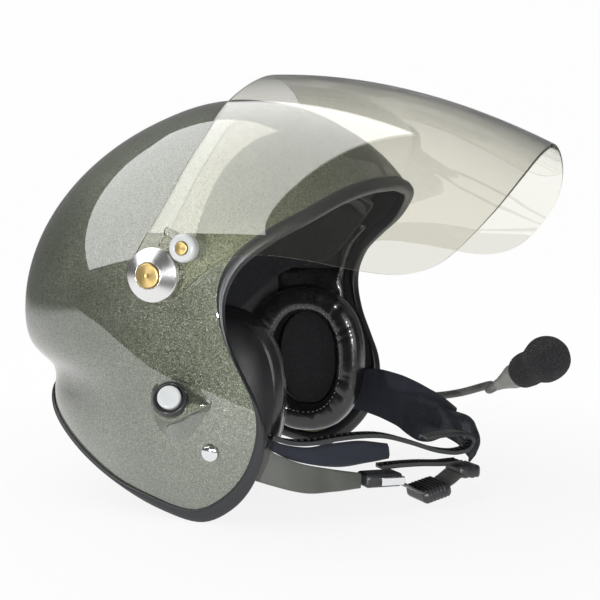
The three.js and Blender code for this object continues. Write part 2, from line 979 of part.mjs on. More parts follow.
// Visor sheet
function visorSurface(turn, ahead, inset) {
  const rise = visorRiseShare * ahead;
  const drop = visorDropShare * visorLength * Math.max(ahead / visorLength, 0) ** 2;
  const height = visorCrownHeight + rise - drop - inset - visorArmFlat;
  const narrow = visorNarrowShare * Math.max(ahead - visorArmStraight, 0);
  const width = visorHalfWidth - narrow - inset;
  const c = Math.cos(turn);
  const s = Math.sin(turn);
  const power = 2 / visorArchPower;
  return [
    Math.sign(c) * Math.abs(c) ** power * width,
    pivotY - ahead,
    pivotZ + visorArmFlat + Math.abs(s) ** power * height,
  ];
}

function visorSheet() {
  const turnSteps = 26;
  const aheadSteps = 8;
  const from = -visorLobeRadius * 1.6;
  const to = visorLength * 1.08;
  const rows = (inset) => {
    const list = [];
    for (let r = 0; r <= aheadSteps; r++) {
      const ahead = from + ((to - from) * r) / aheadSteps;
      const row = [];
      const arm = visorSurface(0, ahead, inset);
      row.push([arm[0], arm[1], pivotZ - visorLobeRadius * 1.4]);
      for (let c = 0; c <= turnSteps; c++)
        row.push(visorSurface((c / turnSteps) * Math.PI, ahead, inset));
      const other = visorSurface(Math.PI, ahead, inset);
      row.push([other[0], other[1], pivotZ - visorLobeRadius * 1.4]);
      list.push(row);
    }
    return list;
  };
  return solid(outward(slab(rows(0), rows(visorWall))));
}

// The outline, cut through both sides at once
function visorOutline() {
  const rear = new THREE.SplineCurve(
    visorRearShares.map(([y, z]) => new THREE.Vector2(y * visorLength, z * visorLength)),
  ).getPoints(16);
  const front = new THREE.SplineCurve(
    visorFrontShares.map(([y, z]) => new THREE.Vector2(y * visorLength, z * visorLength)),
  ).getPoints(32);
  const lobe = [];
  for (let i = 0; i <= 10; i++) {
    const a = (-135 + (i / 10) * 135) * deg;
    lobe.push(
      new THREE.Vector2(Math.cos(a) * visorLobeRadius, Math.sin(a) * visorLobeRadius),
    );
  }
  return new THREE.Shape([...lobe, ...rear, ...front]);
}

// A prism along X whose outline is drawn in side view, from the pivots
function sidePrism(shape, fromX, toX) {
  const g = new THREE.ExtrudeGeometry(shape, {
    depth: toX - fromX,
    bevelEnabled: false,
    curveSegments: 20,
  });
  const turn = new THREE.Matrix4().makeBasis(
    new THREE.Vector3(0, 1, 0),
    new THREE.Vector3(0, 0, 1),
    new THREE.Vector3(1, 0, 0),
  );
  g.applyMatrix4(turn);
  g.translate(fromX, pivotY, pivotZ);
  return solid(g);
}

function arcSlot() {
  const shape = new THREE.Shape();
  const margin = Math.asin((lockStudRadius + fitGap) / lockTrackRadius) / deg;
  const first = (180 - lockAngle - visorLowerTravel - margin) * deg;
  const last = (180 - lockAngle + visorRaiseTravel + margin) * deg;
  shape.absarc(0, 0, lockTrackRadius + slotHalfWidth, first, last, false);
  shape.absarc(0, 0, lockTrackRadius - slotHalfWidth, last, first, true);
  return shape;
}

const wide = visorHalfWidth * 1.3;
const pivotHole = new THREE.Shape();
pivotHole.absarc(0, 0, boltRadius + fitGap, 0, 2 * Math.PI, false);
const visor = visorSheet()
  .intersect(sidePrism(visorOutline(), -wide, wide))
  .subtract(sidePrism(arcSlot(), -wide, wide))
  .subtract(sidePrism(pivotHole, -wide, wide));
add("visor", "clear", geometryOf(visor));

// Pivot and lock hardware at each side
for (const [name, side] of sides) {
  const axis = outX(side);
  const shellX = Math.abs(pivotShell.x);
  const armIn = visorHalfWidth - visorWall;
  const armOut = visorHalfWidth;
  const place = (x) => along(side, x, pivotY, pivotZ);
  const seatX = shellX + fitGap * 2;
  const bushLength = armIn - fitGap - seatX;
  add(
    "pivot_bush_" + name,
    "black",
    turned(
      [
        [boltRadius + fitGap, 0],
        [bushRadius, 0],
        [bushRadius, bushLength],
        [boltRadius + fitGap, bushLength],
        [boltRadius + fitGap, 0],
      ],
      place(seatX),
      axis,
    ),
  );
  const knobX = armOut + fitGap;
  const headX = shellX - shellWall - fitGap * 10 - boltHeadDepth;
  const boltEnd = knobX + knobDepth * 0.6;
  add(
    "pivot_bolt_" + name,
    "steel",
    turned(
      [
        [0, 0],
        [boltHeadRadius, 0],
        [boltHeadRadius, boltHeadDepth],
        [boltRadius, boltHeadDepth],
        [boltRadius, boltEnd - headX],
        [0, boltEnd - headX],
      ],
      place(headX),
      axis,
    ),
  );
  const socket = boltEnd - knobX + fitGap;
  add(
    "pivot_knob_" + name,
    "aluminium",
    turned(
      [
        [boltRadius + fitGap, 0],
        [knobRadius, 0],
        [knobRadius, knobDepth * 0.55],
        [knobRadius * 0.97, knobDepth * 0.65],
        [knobFlatRadius, knobDepth],
        [capRadius + fitGap, knobDepth],
        [capRadius + fitGap, knobDepth - capDepth],
        [boltRadius + fitGap, knobDepth - capDepth],
        [boltRadius + fitGap, 0],
      ],
      place(knobX),
      axis,
      28,
    ),
  );
  add(
    "pivot_cap_" + name,
    "brass",
    turned(
      [
        [0, 0],
        [capRadius, 0],
        [capRadius, capDepth * 0.9],
        [capRadius * 0.85, capDepth * 1.15],
        [0, capDepth * 1.2],
      ],
      place(knobX + knobDepth - capDepth + fitGap),
      axis,
      28,
    ),
  );
  const lockPlace = (x) => along(side, x, lockY, lockZ);
  const lockSeat = Math.abs(lockShell.x);
  const studFrom = lockSeat - shellWall - fitGap * 10;
  const studTo = knobX + lockKnobDepth * 0.6;
  add(
    "lock_stud_" + name,
    "steel",
    turned(
      [
        [0, 0],
        [lockStudRadius * 2.4, 0],
        [lockStudRadius * 2.4, lockStudRadius],
        [lockStudRadius, lockStudRadius],
        [lockStudRadius, studTo - studFrom + lockStudRadius],
        [0, studTo - studFrom + lockStudRadius],
      ],
      lockPlace(studFrom - lockStudRadius),
      axis,
      20,
    ),
  );
  add(
    "lock_knob_" + name,
    "white",
    turned(
      [
        [lockStudRadius + fitGap, 0],
        [lockKnobRadius * 0.92, 0],
        [lockKnobRadius, lockKnobDepth * 0.15],
        [lockKnobRadius, lockKnobDepth * 0.8],
        [lockKnobRadius * 0.88, lockKnobDepth],
        [lockCapRadius + fitGap, lockKnobDepth],
        [lockCapRadius + fitGap, lockKnobDepth - capDepth],
        [lockStudRadius + fitGap, lockKnobDepth - capDepth],
        [lockStudRadius + fitGap, 0],
      ],
      lockPlace(knobX),
      axis,
    ),
  );
  add(
    "lock_cap_" + name,
    "brass",
    turned(
      [
        [0, 0],
        [lockCapRadius, 0],
        [lockCapRadius, capDepth * 0.9],
        [lockCapRadius * 0.85, capDepth * 1.1],
        [0, capDepth * 1.1],
      ],
      lockPlace(knobX + lockKnobDepth - capDepth + fitGap),
      axis,
      24,
    ),
  );
}

// Push-to-talk switch
const ringBase = bossTop.clone().addScaledVector(switchAxis, fitGap);
add(
  "switch_ring",
  "black",
  turned(
    [
      [switchBoreRadius, 0],
      [switchRingRadius, 0],
      [switchRingRadius, switchRingHeight * 0.75],
      [switchRingRadius * 0.93, switchRingHeight],
      [switchBoreRadius, switchRingHeight],
      [switchBoreRadius, 0],
    ],
    ringBase,
    switchAxis,
  ),
);
const buttonTop = switchRingHeight + buttonTravel + fitGap * 2;
add(
  "switch_button",
  "white",
  turned(
    [
      [0, buttonTop - buttonHeight],
      [buttonRadius, buttonTop - buttonHeight],
      [buttonRadius, buttonTop - buttonTravel * 0.5],
      [buttonRadius * 0.85, buttonTop - buttonTravel * 0.1],
      [0, buttonTop],
    ],
    ringBase,
    switchAxis,
  ),
);
const bodyTop = buttonTop - buttonHeight - buttonTravel - fitGap;
add(
  "switch_body",
  "black",
  turned(
    [
      [0, bodyTop - switchBodyDepth],
      [switchBodyRadius, bodyTop - switchBodyDepth],
      [switchBodyRadius, bodyTop],
      [0, bodyTop],
    ],
    ringBase,
    switchAxis,
    20,
  ),
);

// Strap anchor rivets and their washers, square to the shell
const strapInset = shellWall + webThickness / 2 + strapWallGap;
for (const [name, side] of sides) {
  const seat = shellPoint(rivetY, rivetZ, 0, side);
  const normal = shellNormal(seat);
  const length = strapInset + webThickness / 2 + rivetWasherDepth + fitGap * 6.5;
  const base = seat.clone().addScaledVector(normal, fitGap * 2 - length);
  add(
    "strap_rivet_" + name,
    "steel",
    turned(
      [
        [0, 0],
        [rivetShankRadius, 0],
        [rivetShankRadius, length],
        [rivetRadius, length],
        [rivetRadius * 0.9, length + rivetDome * 0.5],
        [rivetRadius * 0.55, length + rivetDome * 0.88],
        [0, length + rivetDome],
      ],
      base,
      normal,
      24,
    ),
  );
  add(
    "rivet_washer_" + name,
    "steel",
    turned(
      [
        [rivetShankRadius + fitGap, 0],
        [rivetWasherRadius, 0],
        [rivetWasherRadius, rivetWasherDepth],
        [rivetShankRadius + fitGap, rivetWasherDepth],
        [rivetShankRadius + fitGap, 0],
      ],
      base,
      normal,
      20,
    ),
  );
}

// The strap's places are shares of the half width, and spread sideways with its rivets
const strapSpanShare = 0.8827559984; // half of the rivets' span that the places are for
const strapSpan = shellPoint(rivetY, rivetZ, strapInset, 1).x;
const strapSpread = strapSpan / (shellHalfWidth * strapSpanShare);

function strapPlace([x, y, z]) {
  return new THREE.Vector3(x * strapSpread, y, z).multiplyScalar(shellHalfWidth);
}

// Chin strap: bands given by the places of their two edges
function bandSolid(shares, thickness, steps, grow = 0) {
  const low = new THREE.CatmullRomCurve3(
    shares.map((row) => strapPlace(row.slice(0, 3))),
    false,
    "centripetal",
  );
  const high = new THREE.CatmullRomCurve3(
    shares.map((row) => strapPlace(row.slice(3, 6))),
    false,
    "centripetal",
  );
  const sections = [];
  for (let i = 0; i <= steps; i++) {
    const u = i / steps;
    const a = low.getPoint(u);
    const b = high.getPoint(u);
    const w = b.clone().sub(a).normalize();
    const t = low.getTangent(u).add(high.getTangent(u));
    const n = new THREE.Vector3().crossVectors(t, w).normalize();
    const half = thickness / 2 + grow;
    a.addScaledVector(w, -grow);
    b.addScaledVector(w, grow);
    sections.push([
      a.clone().addScaledVector(n, -half).toArray(),
      b.clone().addScaledVector(n, -half).toArray(),
      b.clone().addScaledVector(n, half).toArray(),
      a.clone().addScaledVector(n, half).toArray(),
    ]);
  }
  return run(sections);
}

function rivetHole(side) {
  const seat = shellPoint(rivetY, rivetZ, 0, side);
  const normal = shellNormal(seat);
  return solid(
    rod(
      rivetShankRadius + eyeletGap,
      seat.clone().addScaledVector(normal, -shellWall * 6),
      seat,
    ),
  );
}

// A band's row beside the shell's inner wall, between two heights
function wallRow(side, y, low, high) {
  const at = (z) => {
    const p = shellPoint(y, z, strapInset, side).divideScalar(shellHalfWidth);
    return [p.x / strapSpread, p.y, p.z];
  };
  return [...at(low), ...at(high)];
}

const rightBandShares = [
  wallRow(-1, rivetY + webWidth * 0.6, rivetZ - webWidth * 0.4, rivetZ + webWidth * 0.42),
  wallRow(-1, rivetY, rivetZ - webWidth * 0.5, rivetZ + webWidth * 0.45),
  [-0.834, -0.305, -0.760, -0.844, -0.305, -0.603],
  [-0.808, -0.405, -0.790, -0.817, -0.397, -0.641],
  [-0.733, -0.532, -0.831, -0.748, -0.506, -0.698],
  [-0.626, -0.615, -0.844, -0.641, -0.603, -0.739],
  [-0.510, -0.711, -0.847, -0.510, -0.711, -0.779],
];
const leftBandShares = [
  wallRow(1, rivetY + webWidth * 0.6, rivetZ - webWidth * 0.45, rivetZ + webWidth * 0.42),
  wallRow(1, rivetY, rivetZ - webWidth * 0.55, rivetZ + webWidth * 0.45),
  [0.832, -0.305, -0.748, 0.844, -0.305, -0.534],
  [0.748, -0.412, -0.752, 0.794, -0.412, -0.508],
  [0.641, -0.584, -0.789, 0.710, -0.573, -0.519],
  [0.534, -0.718, -0.836, 0.595, -0.748, -0.560],
  [0.443, -0.824, -0.817, 0.496, -0.863, -0.595],
  [0.382, -0.901, -0.773, 0.397, -0.953, -0.630],
];
const sleeveShares = [
  [-0.786, -0.389, -0.641, -0.794, -0.382, -0.595],
  [-0.744, -0.458, -0.685, -0.760, -0.443, -0.622],
  [-0.676, -0.542, -0.719, -0.691, -0.527, -0.643],
  [-0.576, -0.634, -0.744, -0.592, -0.611, -0.639],
  [-0.469, -0.725, -0.742, -0.485, -0.702, -0.642],
  [-0.386, -0.802, -0.735, -0.378, -0.794, -0.668],
];
const linkShares = [
  [0.441, -0.824, -0.771, 0.473, -0.847, -0.641],
  [0.369, -0.892, -0.771, 0.383, -0.940, -0.641],
  [0.229, -1.000, -0.782, 0.237, -1.050, -0.641],
  [0.099, -1.057, -0.792, 0.107, -1.107, -0.664],
  [0.008, -1.093, -0.798, -0.008, -1.141, -0.710],
  [-0.044, -1.101, -0.800, -0.057, -1.134, -0.756],
];
const lowerWebShares = [
  [-0.428, -0.898, -0.836, -0.325, -0.796, -0.836],
  [-0.364, -0.952, -0.882, -0.261, -0.850, -0.882],
  [-0.303, -1.001, -0.905, -0.200, -0.900, -0.905],
  [-0.239, -1.055, -0.870, -0.136, -0.953, -0.870],
  [-0.176, -1.097, -0.837, -0.073, -0.995, -0.837],
];
const rightBand = solid(bandSolid(rightBandShares, webThickness, 22));
add("strap_right", "webbing", geometryOf(rightBand.subtract(rivetHole(-1))));
const leftBand = solid(bandSolid(leftBandShares, webThickness, 24));
add("strap_left", "cloth", geometryOf(leftBand.subtract(rivetHole(1))));
add("strap_sleeve", "cloth", bandSolid(sleeveShares, padThickness, 14));
add("strap_link", "webbing", bandSolid(linkShares, webThickness, 12));
add("strap_lower", "webbing", bandSolid(lowerWebShares, webThickness, 12));

// Toothed strips: the teeth stand on the upper face
function toothed(shares, teeth, ahead) {
  const route = shares.map(strapPlace);
  return strip(
    route,
    teeth * 2,
    () => ratchetWidth,
    (u, i) => ratchetThickness + (i % 2 ? toothHeight : 0),
    () => ahead,
  );
}

const stripAcross = new THREE.Vector3(0.71, 0.7, 0);
const ratchetShares = [
  [-0.788, -0.393, -0.595],
  [-0.752, -0.439, -0.618],
  [-0.718, -0.481, -0.629],
  [-0.672, -0.538, -0.632],
  [-0.611, -0.603, -0.625],
  [-0.489, -0.718, -0.624],
  [-0.412, -0.786, -0.637],
  [-0.321, -0.866, -0.674],
  [-0.183, -0.969, -0.734],
  [-0.092, -1.046, -0.754],
  [-0.038, -1.092, -0.740],
  [-0.019, -1.107, -0.702],
  [-0.046, -1.092, -0.666],
  [-0.107, -1.050, -0.646],
  [-0.168, -0.992, -0.645],
  [-0.229, -0.924, -0.653],
];
const stripShares = [
  [-0.443, -0.779, -0.768],
  [-0.378, -0.844, -0.768],
  [-0.290, -0.912, -0.776],
  [-0.183, -0.991, -0.792],
  [-0.115, -1.034, -0.797],
  [-0.088, -1.057, -0.798],
];
add("ratchet_strap", "black", toothed(ratchetShares, 32, stripAcross));
add("ratchet_strip", "black", toothed(stripShares, 12, stripAcross));

// A rounded block at a place, its length along the strap
function block(place, lengthwise, across, length, width, depth, corner) {
  const shape = new THREE.Shape();
  const l = length / 2 - corner;
  const d = depth / 2 - corner;
  shape.absarc(l, d, corner, 0, Math.PI / 2, false);
  shape.absarc(-l, d, corner, Math.PI / 2, Math.PI, false);
  shape.absarc(-l, -d, corner, Math.PI, Math.PI * 1.5, false);
  shape.absarc(l, -d, corner, Math.PI * 1.5, Math.PI * 2, false);
  const g = new THREE.ExtrudeGeometry(shape, {
    depth: width,
    bevelEnabled: false,
    curveSegments: 4,
  });
  g.translate(0, 0, -width / 2);
  const x = lengthwise.clone().normalize();
  const z = across.clone().addScaledVector(x, -across.dot(x)).normalize();
  const y = new THREE.Vector3().crossVectors(z, x);
  g.applyMatrix4(new THREE.Matrix4().makeBasis(x, y, z));
  g.translate(place.x, place.y, place.z);
  return solid(g);
}

const buckle = strapPlace([-0.443, -0.779, -0.813]);
const buckleAlong = new THREE.Vector3(0.7, -0.71, -0.05);
add(
  "buckle_body",
  "black",
  geometryOf(
    block(buckle, buckleAlong, stripAcross, buckleLength, buckleWidth, buckleDepth, buckleCorner),
  ),
);
const leverPlace = buckle
  .clone()
  .addScaledVector(stripAcross, -(buckleWidth + leverDepth) / 2 - fitGap)
  .addScaledVector(buckleAlong, leverAhead);
add(
  "buckle_lever",
  "steel",
  geometryOf(
    block(
      leverPlace,
      buckleAlong,
      new THREE.Vector3(0, 0, 1),
      leverLength,
      leverWidth,
      leverDepth,
      leverDepth * 0.4,
    ),
  ),
);
const sliderAlong = new THREE.Vector3(0.66, -0.69, 0.2);
const slider = strapPlace([-0.245, -0.956, -0.896]);
add(
  "strap_slider",
  "black",
  geometryOf(
    block(
      slider,
      sliderAlong,
      stripAcross,
      sliderLength,
      sliderWidth,
      sliderDepth,
      sliderDepth * 0.4,
    ).subtract(solid(bandSolid(lowerWebShares, webThickness, 12, fitGap * 3))),
  ),
);
const endPlace = strapPlace([-0.069, -1.076, -0.832]);
add(
  "strap_end",
  "black",
  geometryOf(
    block(endPlace, buckleAlong, stripAcross, endLength, endWidth, endDepth, endDepth * 0.3),
  ),
);

// Boom microphone: swivel on the left cheek, boom, housing and foam windscreen
const boomSeat = shellPoint(boomY, boomZ, 0, 1);
const boomAxis = shellNormal(boomSeat);
add(
  "boom_pivot",
  "black",
  turned(
    [
      [0, 0],
      [boomPivotRadius, 0],
      [boomPivotRadius, boomPivotDepth * 0.7],
      [boomPivotRadius * 0.85, boomPivotDepth],
      [0, boomPivotDepth],
    ],
    boomSeat.clone().addScaledVector(boomAxis, fitGap * 2),
    boomAxis,
    20,
  ),
);
const micAxis = new THREE.Vector3(-0.383, -0.785, 0.485).normalize();
const micRear = new THREE.Vector3(0.275, -1.322, -0.399).multiplyScalar(shellHalfWidth);
const housingFrom = micRear.clone().addScaledVector(micAxis, -housingBehind);
const boomShares = [
  [0.958, -0.366, -0.695],
  [0.924, -0.534, -0.676],
  [0.855, -0.738, -0.653],
  [0.740, -0.904, -0.608],
  [0.611, -1.084, -0.538],
];
const boomRoute = [
  boomSeat
    .clone()
    .addScaledVector(boomAxis, boomPivotDepth + fitGap * 3 + boomRadius),
  ...boomShares.map((v) => new THREE.Vector3(...v).multiplyScalar(shellHalfWidth)),
  housingFrom.clone().addScaledVector(micAxis, -boomRadius * 2),
  housingFrom.clone().addScaledVector(micAxis, -fitGap),
];
const boomCircle = new THREE.Shape();
boomCircle.absarc(0, 0, boomRadius, 0, 2 * Math.PI, false);
const boomTube = new THREE.ExtrudeGeometry(boomCircle, {
  steps: 24,
  curveSegments: 4,
  bevelEnabled: false,
  extrudePath: new THREE.CatmullRomCurve3(boomRoute, false, "centripetal"),
});
add("mic_boom", "boom", outward(bare(boomTube)));
const foamRear = housingBehind - micFoamRearRadius * 0.85;
const micWide = new THREE.Vector3(1, 0, 0).cross(micAxis).normalize();
const micThin = new THREE.Vector3().crossVectors(micAxis, micWide);

// An oval across the housing, a way along it
function housingOval(along, halfWidth, halfDepth) {
  return Array.from({ length: 20 }, (_, i) => {
    const a = (i / 20) * 2 * Math.PI;
    return housingFrom
      .clone()
      .addScaledVector(micAxis, along)
      .addScaledVector(micWide, Math.cos(a) * halfWidth)
      .addScaledVector(micThin, Math.sin(a) * halfDepth)
      .toArray();
  });
}

const billEnd = foamRear - fitGap;
const bill = wasm.Manifold.hull([
  ...housingOval(0, housingNeck, housingNeck),
  ...housingOval(billEnd * 0.8, housingHalfWidth, housingRadius),
  ...housingOval(billEnd, housingHalfWidth * 0.92, housingRadius * 0.92),
]);
const capsule = wasm.Manifold.hull([
  ...housingOval(billEnd * 0.5, housingNeck, housingNeck),
  ...housingOval(billEnd * 0.8, housingRadius, housingRadius),
  ...housingOval(housingLength * 0.93, housingRadius, housingRadius),
  ...housingOval(housingLength, housingRadius * 0.8, housingRadius * 0.8),
]);
add("mic_housing", "boom", geometryOf(bill.add(capsule)));
const boreEnd = housingLength + fitGap * 2;
const foamMain = housingBehind + micLobeSpacing;
add(
  "mic_windscreen",
  "cloth",
  turned(
    [
      [0, boreEnd],
      [housingRadius + fitGap, boreEnd],
      [housingRadius + fitGap, foamRear],
      [micFoamRearRadius * 0.75, foamRear + micFoamRearRadius * 0.1],
      [micFoamRearRadius * 0.95, foamRear + micFoamRearRadius * 0.4],
      [micFoamRearRadius, foamRear + micFoamRearRadius * 0.8],
      [micFoamRearRadius * 0.97, foamRear + micFoamRearRadius * 1.2],
      [micFoamRadius * 0.84, foamMain - micFoamRadius * 0.6],
      [micFoamRadius * 0.96, foamMain - micFoamRadius * 0.3],
      [micFoamRadius, foamMain],
      [micFoamRadius * 0.94, foamMain + micFoamRadius * 0.34],
      [micFoamRadius * 0.77, foamMain + micFoamRadius * 0.64],
      [micFoamRadius * 0.47, foamMain + micFoamRadius * 0.88],
      [0, foamMain + micFoamRadius],
    ],
    housingFrom,
    micAxis,
    20,
  ),
);

export default helmet;
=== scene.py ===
import math
import random

import bmesh
import bpy
import numpy as np
from bpy.props import FloatProperty, FloatVectorProperty, IntProperty, PointerProperty
from mathutils import Matrix, Vector
from mathutils.geometry import delaunay_2d_cdt


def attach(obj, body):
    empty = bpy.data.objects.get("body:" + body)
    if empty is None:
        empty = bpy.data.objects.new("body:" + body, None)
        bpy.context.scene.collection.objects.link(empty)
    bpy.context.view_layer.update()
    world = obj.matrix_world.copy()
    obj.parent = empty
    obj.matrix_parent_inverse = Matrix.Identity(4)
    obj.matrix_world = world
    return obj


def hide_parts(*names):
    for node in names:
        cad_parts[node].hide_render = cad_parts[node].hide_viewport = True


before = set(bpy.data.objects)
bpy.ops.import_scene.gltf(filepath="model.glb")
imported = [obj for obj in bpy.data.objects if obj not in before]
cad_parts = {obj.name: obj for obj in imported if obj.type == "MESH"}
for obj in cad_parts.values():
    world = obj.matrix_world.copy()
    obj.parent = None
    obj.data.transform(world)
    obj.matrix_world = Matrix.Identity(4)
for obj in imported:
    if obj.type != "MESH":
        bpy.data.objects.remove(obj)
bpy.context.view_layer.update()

bl_info = {
    "name": "Open-face flying helmet",
    "version": (1, 0, 0),
    "blender": (4, 5, 0),
    "location": "View3D > Sidebar > Helmet",
    "description": "Builds a flying helmet with a visor, ear cups, a boom microphone and a chin strap",
    "category": "Add Mesh",
}


# Sizes that a user would change

def length(name, description, default):
    return FloatProperty(name=name, description=description, default=default, unit="LENGTH", precision=5)


def colour(name, description, default):
    return FloatVectorProperty(
        name=name, description=description, default=default, subtype="COLOR", size=3, min=0.0, max=1.0
    )


class ShellSizes(bpy.types.PropertyGroup):
    half_width: length("Half width", "From the middle to the widest side", 0.131)
    front_reach: length("Front reach", "From the middle to the brow", 0.117)
    back_reach: length("Back reach", "From the middle to the back", 0.142)
    crown_reach: length("Crown reach", "From the middle to the crown", 0.1165)
    low_reach: length("Low reach", "Depth over which the sides draw in", 0.130)
    wall: length("Wall", "Thickness of the shell", 0.0032)
    groove_depth: length("Groove depth", "How deep the groove over the skirt is", 0.010)
    groove_height: length("Groove height", "Height of the groove's middle", -0.054)
    groove_half: length("Groove half height", "Half of the groove's height", 0.015)
    trim_leg: length("Trim leg", "How far the rubber trim reaches up the shell", 0.006)
    trim_wall: length("Trim wall", "Thickness of the rubber trim", 0.0015)
    around: IntProperty(name="Steps around", description="Steps along one side of the rim", default=110)


class VisorSizes(bpy.types.PropertyGroup):
    pivot_y: length("Pivot along", "Place of the pivots, front to back", 0.0015)
    pivot_z: length("Pivot height", "Height of the pivots", 0.0133)
    half_width: length("Half width", "Outer face of the arms", 0.136)
    wall: length("Wall", "Thickness of the sheet", 0.002)
    crown_height: length("Crown height", "Height of the sheet over the pivots", 0.1185)
    reach: length("Reach", "From the pivots to the tip", 0.197)
    arm_flat: length("Arm height", "How far over the pivots the arms stay flat", 0.014)
    arm_straight: length("Arm length", "How far ahead the arms stay parallel", 0.034)
    lobe: length("Lobe radius", "Rounded end of each arm", 0.016)
    track: length("Slot track", "Radius of the arc slot", 0.024)
    slot_half: length("Slot half width", "Half of the arc slot's width", 0.0023)


class HardwareSizes(bpy.types.PropertyGroup):
    knob_radius: length("Pivot knob radius", "Outer radius of each pivot knob", 0.0148)
    knob_depth: length("Pivot knob depth", "How far each pivot knob stands out", 0.0085)
    cap_radius: length("Pivot cap radius", "Radius of each brass cap", 0.0066)
    cap_depth: length("Cap depth", "Depth of each brass cap", 0.002)
    bolt_radius: length("Bolt radius", "Radius of each pivot bolt", 0.003)
    lock_radius: length("Lock knob radius", "Radius of each lock knob", 0.0076)
    lock_depth: length("Lock knob depth", "How far each lock knob stands out", 0.007)
    lock_cap: length("Lock cap radius", "Radius of each small brass cap", 0.0035)
    stud_radius: length("Stud radius", "Radius of each lock stud", 0.0018)
    rivet_radius: length("Rivet radius", "Radius of each strap rivet's head", 0.0049)
    rivet_dome: length("Rivet dome", "Height of each strap rivet's head", 0.0024)
    ring_radius: length("Switch ring radius", "Radius of the switch's black ring", 0.0095)
    ring_height: length("Switch ring height", "Height of the switch's black ring", 0.007)
    button_radius: length("Button radius", "Radius of the push button", 0.0064)
    boss_height: length("Boss height", "Height of the moulded switch boss", 0.009)
    boss_radius: length("Boss radius", "Radius of the moulded switch boss at its top", 0.0106)
    boss_tail: length("Boss tail", "Length of the boss's pointed tail", 0.020)
    gap: length("Fit gap", "Clearance between neighbours", 0.0003)


class SoftSizes(bpy.types.PropertyGroup):
    seal_face: length("Seal face", "Inner face of each ear seal from the middle", 0.072)
    seal_depth: length("Seal depth", "Thickness of each ear seal", 0.020)
    seal_length: length("Seal half length", "Half of each ear seal's length", 0.042)
    seal_height: length("Seal half height", "Half of each ear seal's height", 0.052)
    seal_ring: length("Seal ring width", "Width of each ear seal's ring", 0.019)
    cup_depth: length("Cup depth", "Depth of each ear cup", 0.018)
    ear_y: length("Ear along", "Place of the ear cups, front to back", -0.011)
    ear_z: length("Ear height", "Height of the ear cups", -0.058)
    liner: length("Foam liner", "Thickness of the foam liner", 0.020)
    lining: length("Cloth lining", "Thickness of the cloth lining", 0.006)
    foam_radius: length("Windscreen radius", "Radius of the windscreen's front lobe", 0.0144)
    foam_rear: length("Windscreen rear radius", "Radius of the windscreen's rear lobe", 0.0113)
    boom_radius: length("Boom radius", "Radius of the microphone boom", 0.0027)


class StrapSizes(bpy.types.PropertyGroup):
    web: length("Webbing thickness", "Thickness of the flat webbing", 0.0016)
    pad: length("Sleeve thickness", "Thickness of the woven sleeve", 0.0045)
    ratchet_width: length("Strip width", "Width of the toothed strips", 0.009)
    ratchet_wall: length("Strip thickness", "Thickness of the toothed strips", 0.0016)
    tooth: length("Tooth height", "Height of the strips' teeth", 0.0014)


class HelmetColours(bpy.types.PropertyGroup):
    shell_light: colour("Paint, light", "Lighter colour of the metallic paint", (0.178, 0.197, 0.142))
    shell_dark: colour("Paint, dark", "Darker colour of the metallic paint", (0.036, 0.041, 0.028))
    shell_inside: colour("Bare shell", "Unpainted inner face of the shell", (0.42, 0.38, 0.24))
    rubber: colour("Rubber", "Edge trim", (0.007, 0.0075, 0.0095))
    cloth: colour("Cloth", "Lining and pads", (0.005, 0.0055, 0.008))
    leather: colour("Leather", "Ear seals", (0.008, 0.0078, 0.009))
    foam: colour("Foam", "Windscreen and ear discs", (0.010, 0.010, 0.0125))
    visor: colour("Visor", "Tint of the clear sheet", (0.955, 0.946, 0.875))
    brass: colour("Brass", "Caps of the knobs", (0.78, 0.58, 0.24))
    webbing: colour("Webbing", "Grey webbing", (0.072, 0.076, 0.068))
    band: colour("Band", "Navy-black woven band", (0.010, 0.0125, 0.022))
    boom: colour("Boom", "Boom and microphone", (0.15, 0.152, 0.142))
    black: colour("Black plastic", "Moulded black plastic", (0.008, 0.0085, 0.010))


class StageSettings(bpy.types.PropertyGroup):
    camera_place: FloatVectorProperty(
        name="Camera place", description="Where the camera stands", default=(-0.6887153, -0.2705732, 0.0496165),
        unit="LENGTH", size=3, precision=5,
    )
    camera_turn: FloatProperty(name="Turn", description="Camera's direction round the helmet",
                               default=math.radians(-71.0236), subtype="ANGLE")
    camera_rise: FloatProperty(name="Rise", description="Camera's height angle",
                               default=math.radians(4.6524), subtype="ANGLE")
    lens: FloatProperty(name="Lens", description="Focal length in millimetres", default=68.896)
    floor: length("Floor height", "Height of the floor", -0.1268)
    key: FloatProperty(name="Key light", description="Power of the main soft light", default=17.5)
    fill: FloatProperty(name="Fill light", description="Power of the second soft light", default=6.5)


# Places along the rim, liner, visor and straps

RIM = [
    (-0.752, 0.48), (-0.735, 0.466), (-0.66, 0.413), (-0.56, 0.33), (-0.43, 0.24), (-0.32, 0.14),
    (-0.268, 0.03), (-0.262, -0.07), (-0.29, -0.2), (-0.345, -0.33), (-0.392, -0.44), (-0.408, -0.54),
    (-0.395, -0.64), (-0.34, -0.77), (-0.24, -0.88), (-0.1, -0.95), (0.1, -0.915), (0.32, -0.83),
    (0.53, -0.72), (0.7, -0.6), (0.83, -0.5), (0.905, -0.45), (0.925, -0.44),
]
LINER_RIM = [
    (-0.62, 0.56), (-0.5, 0.5), (-0.38, 0.41), (-0.26, 0.33), (-0.1, 0.29), (0.1, 0.25), (0.25, 0.1),
    (0.38, -0.1), (0.5, -0.22), (0.66, -0.3), (0.8, -0.31), (0.88, -0.3),
]
LINING_RIM = [
    (-0.66, 0.5), (-0.54, 0.42), (-0.4, 0.3), (-0.26, 0.16), (-0.1, 0.08), (0.1, 0.04), (0.25, -0.06),
    (0.38, -0.18), (0.5, -0.3), (0.66, -0.36), (0.8, -0.36), (0.88, -0.34),
]
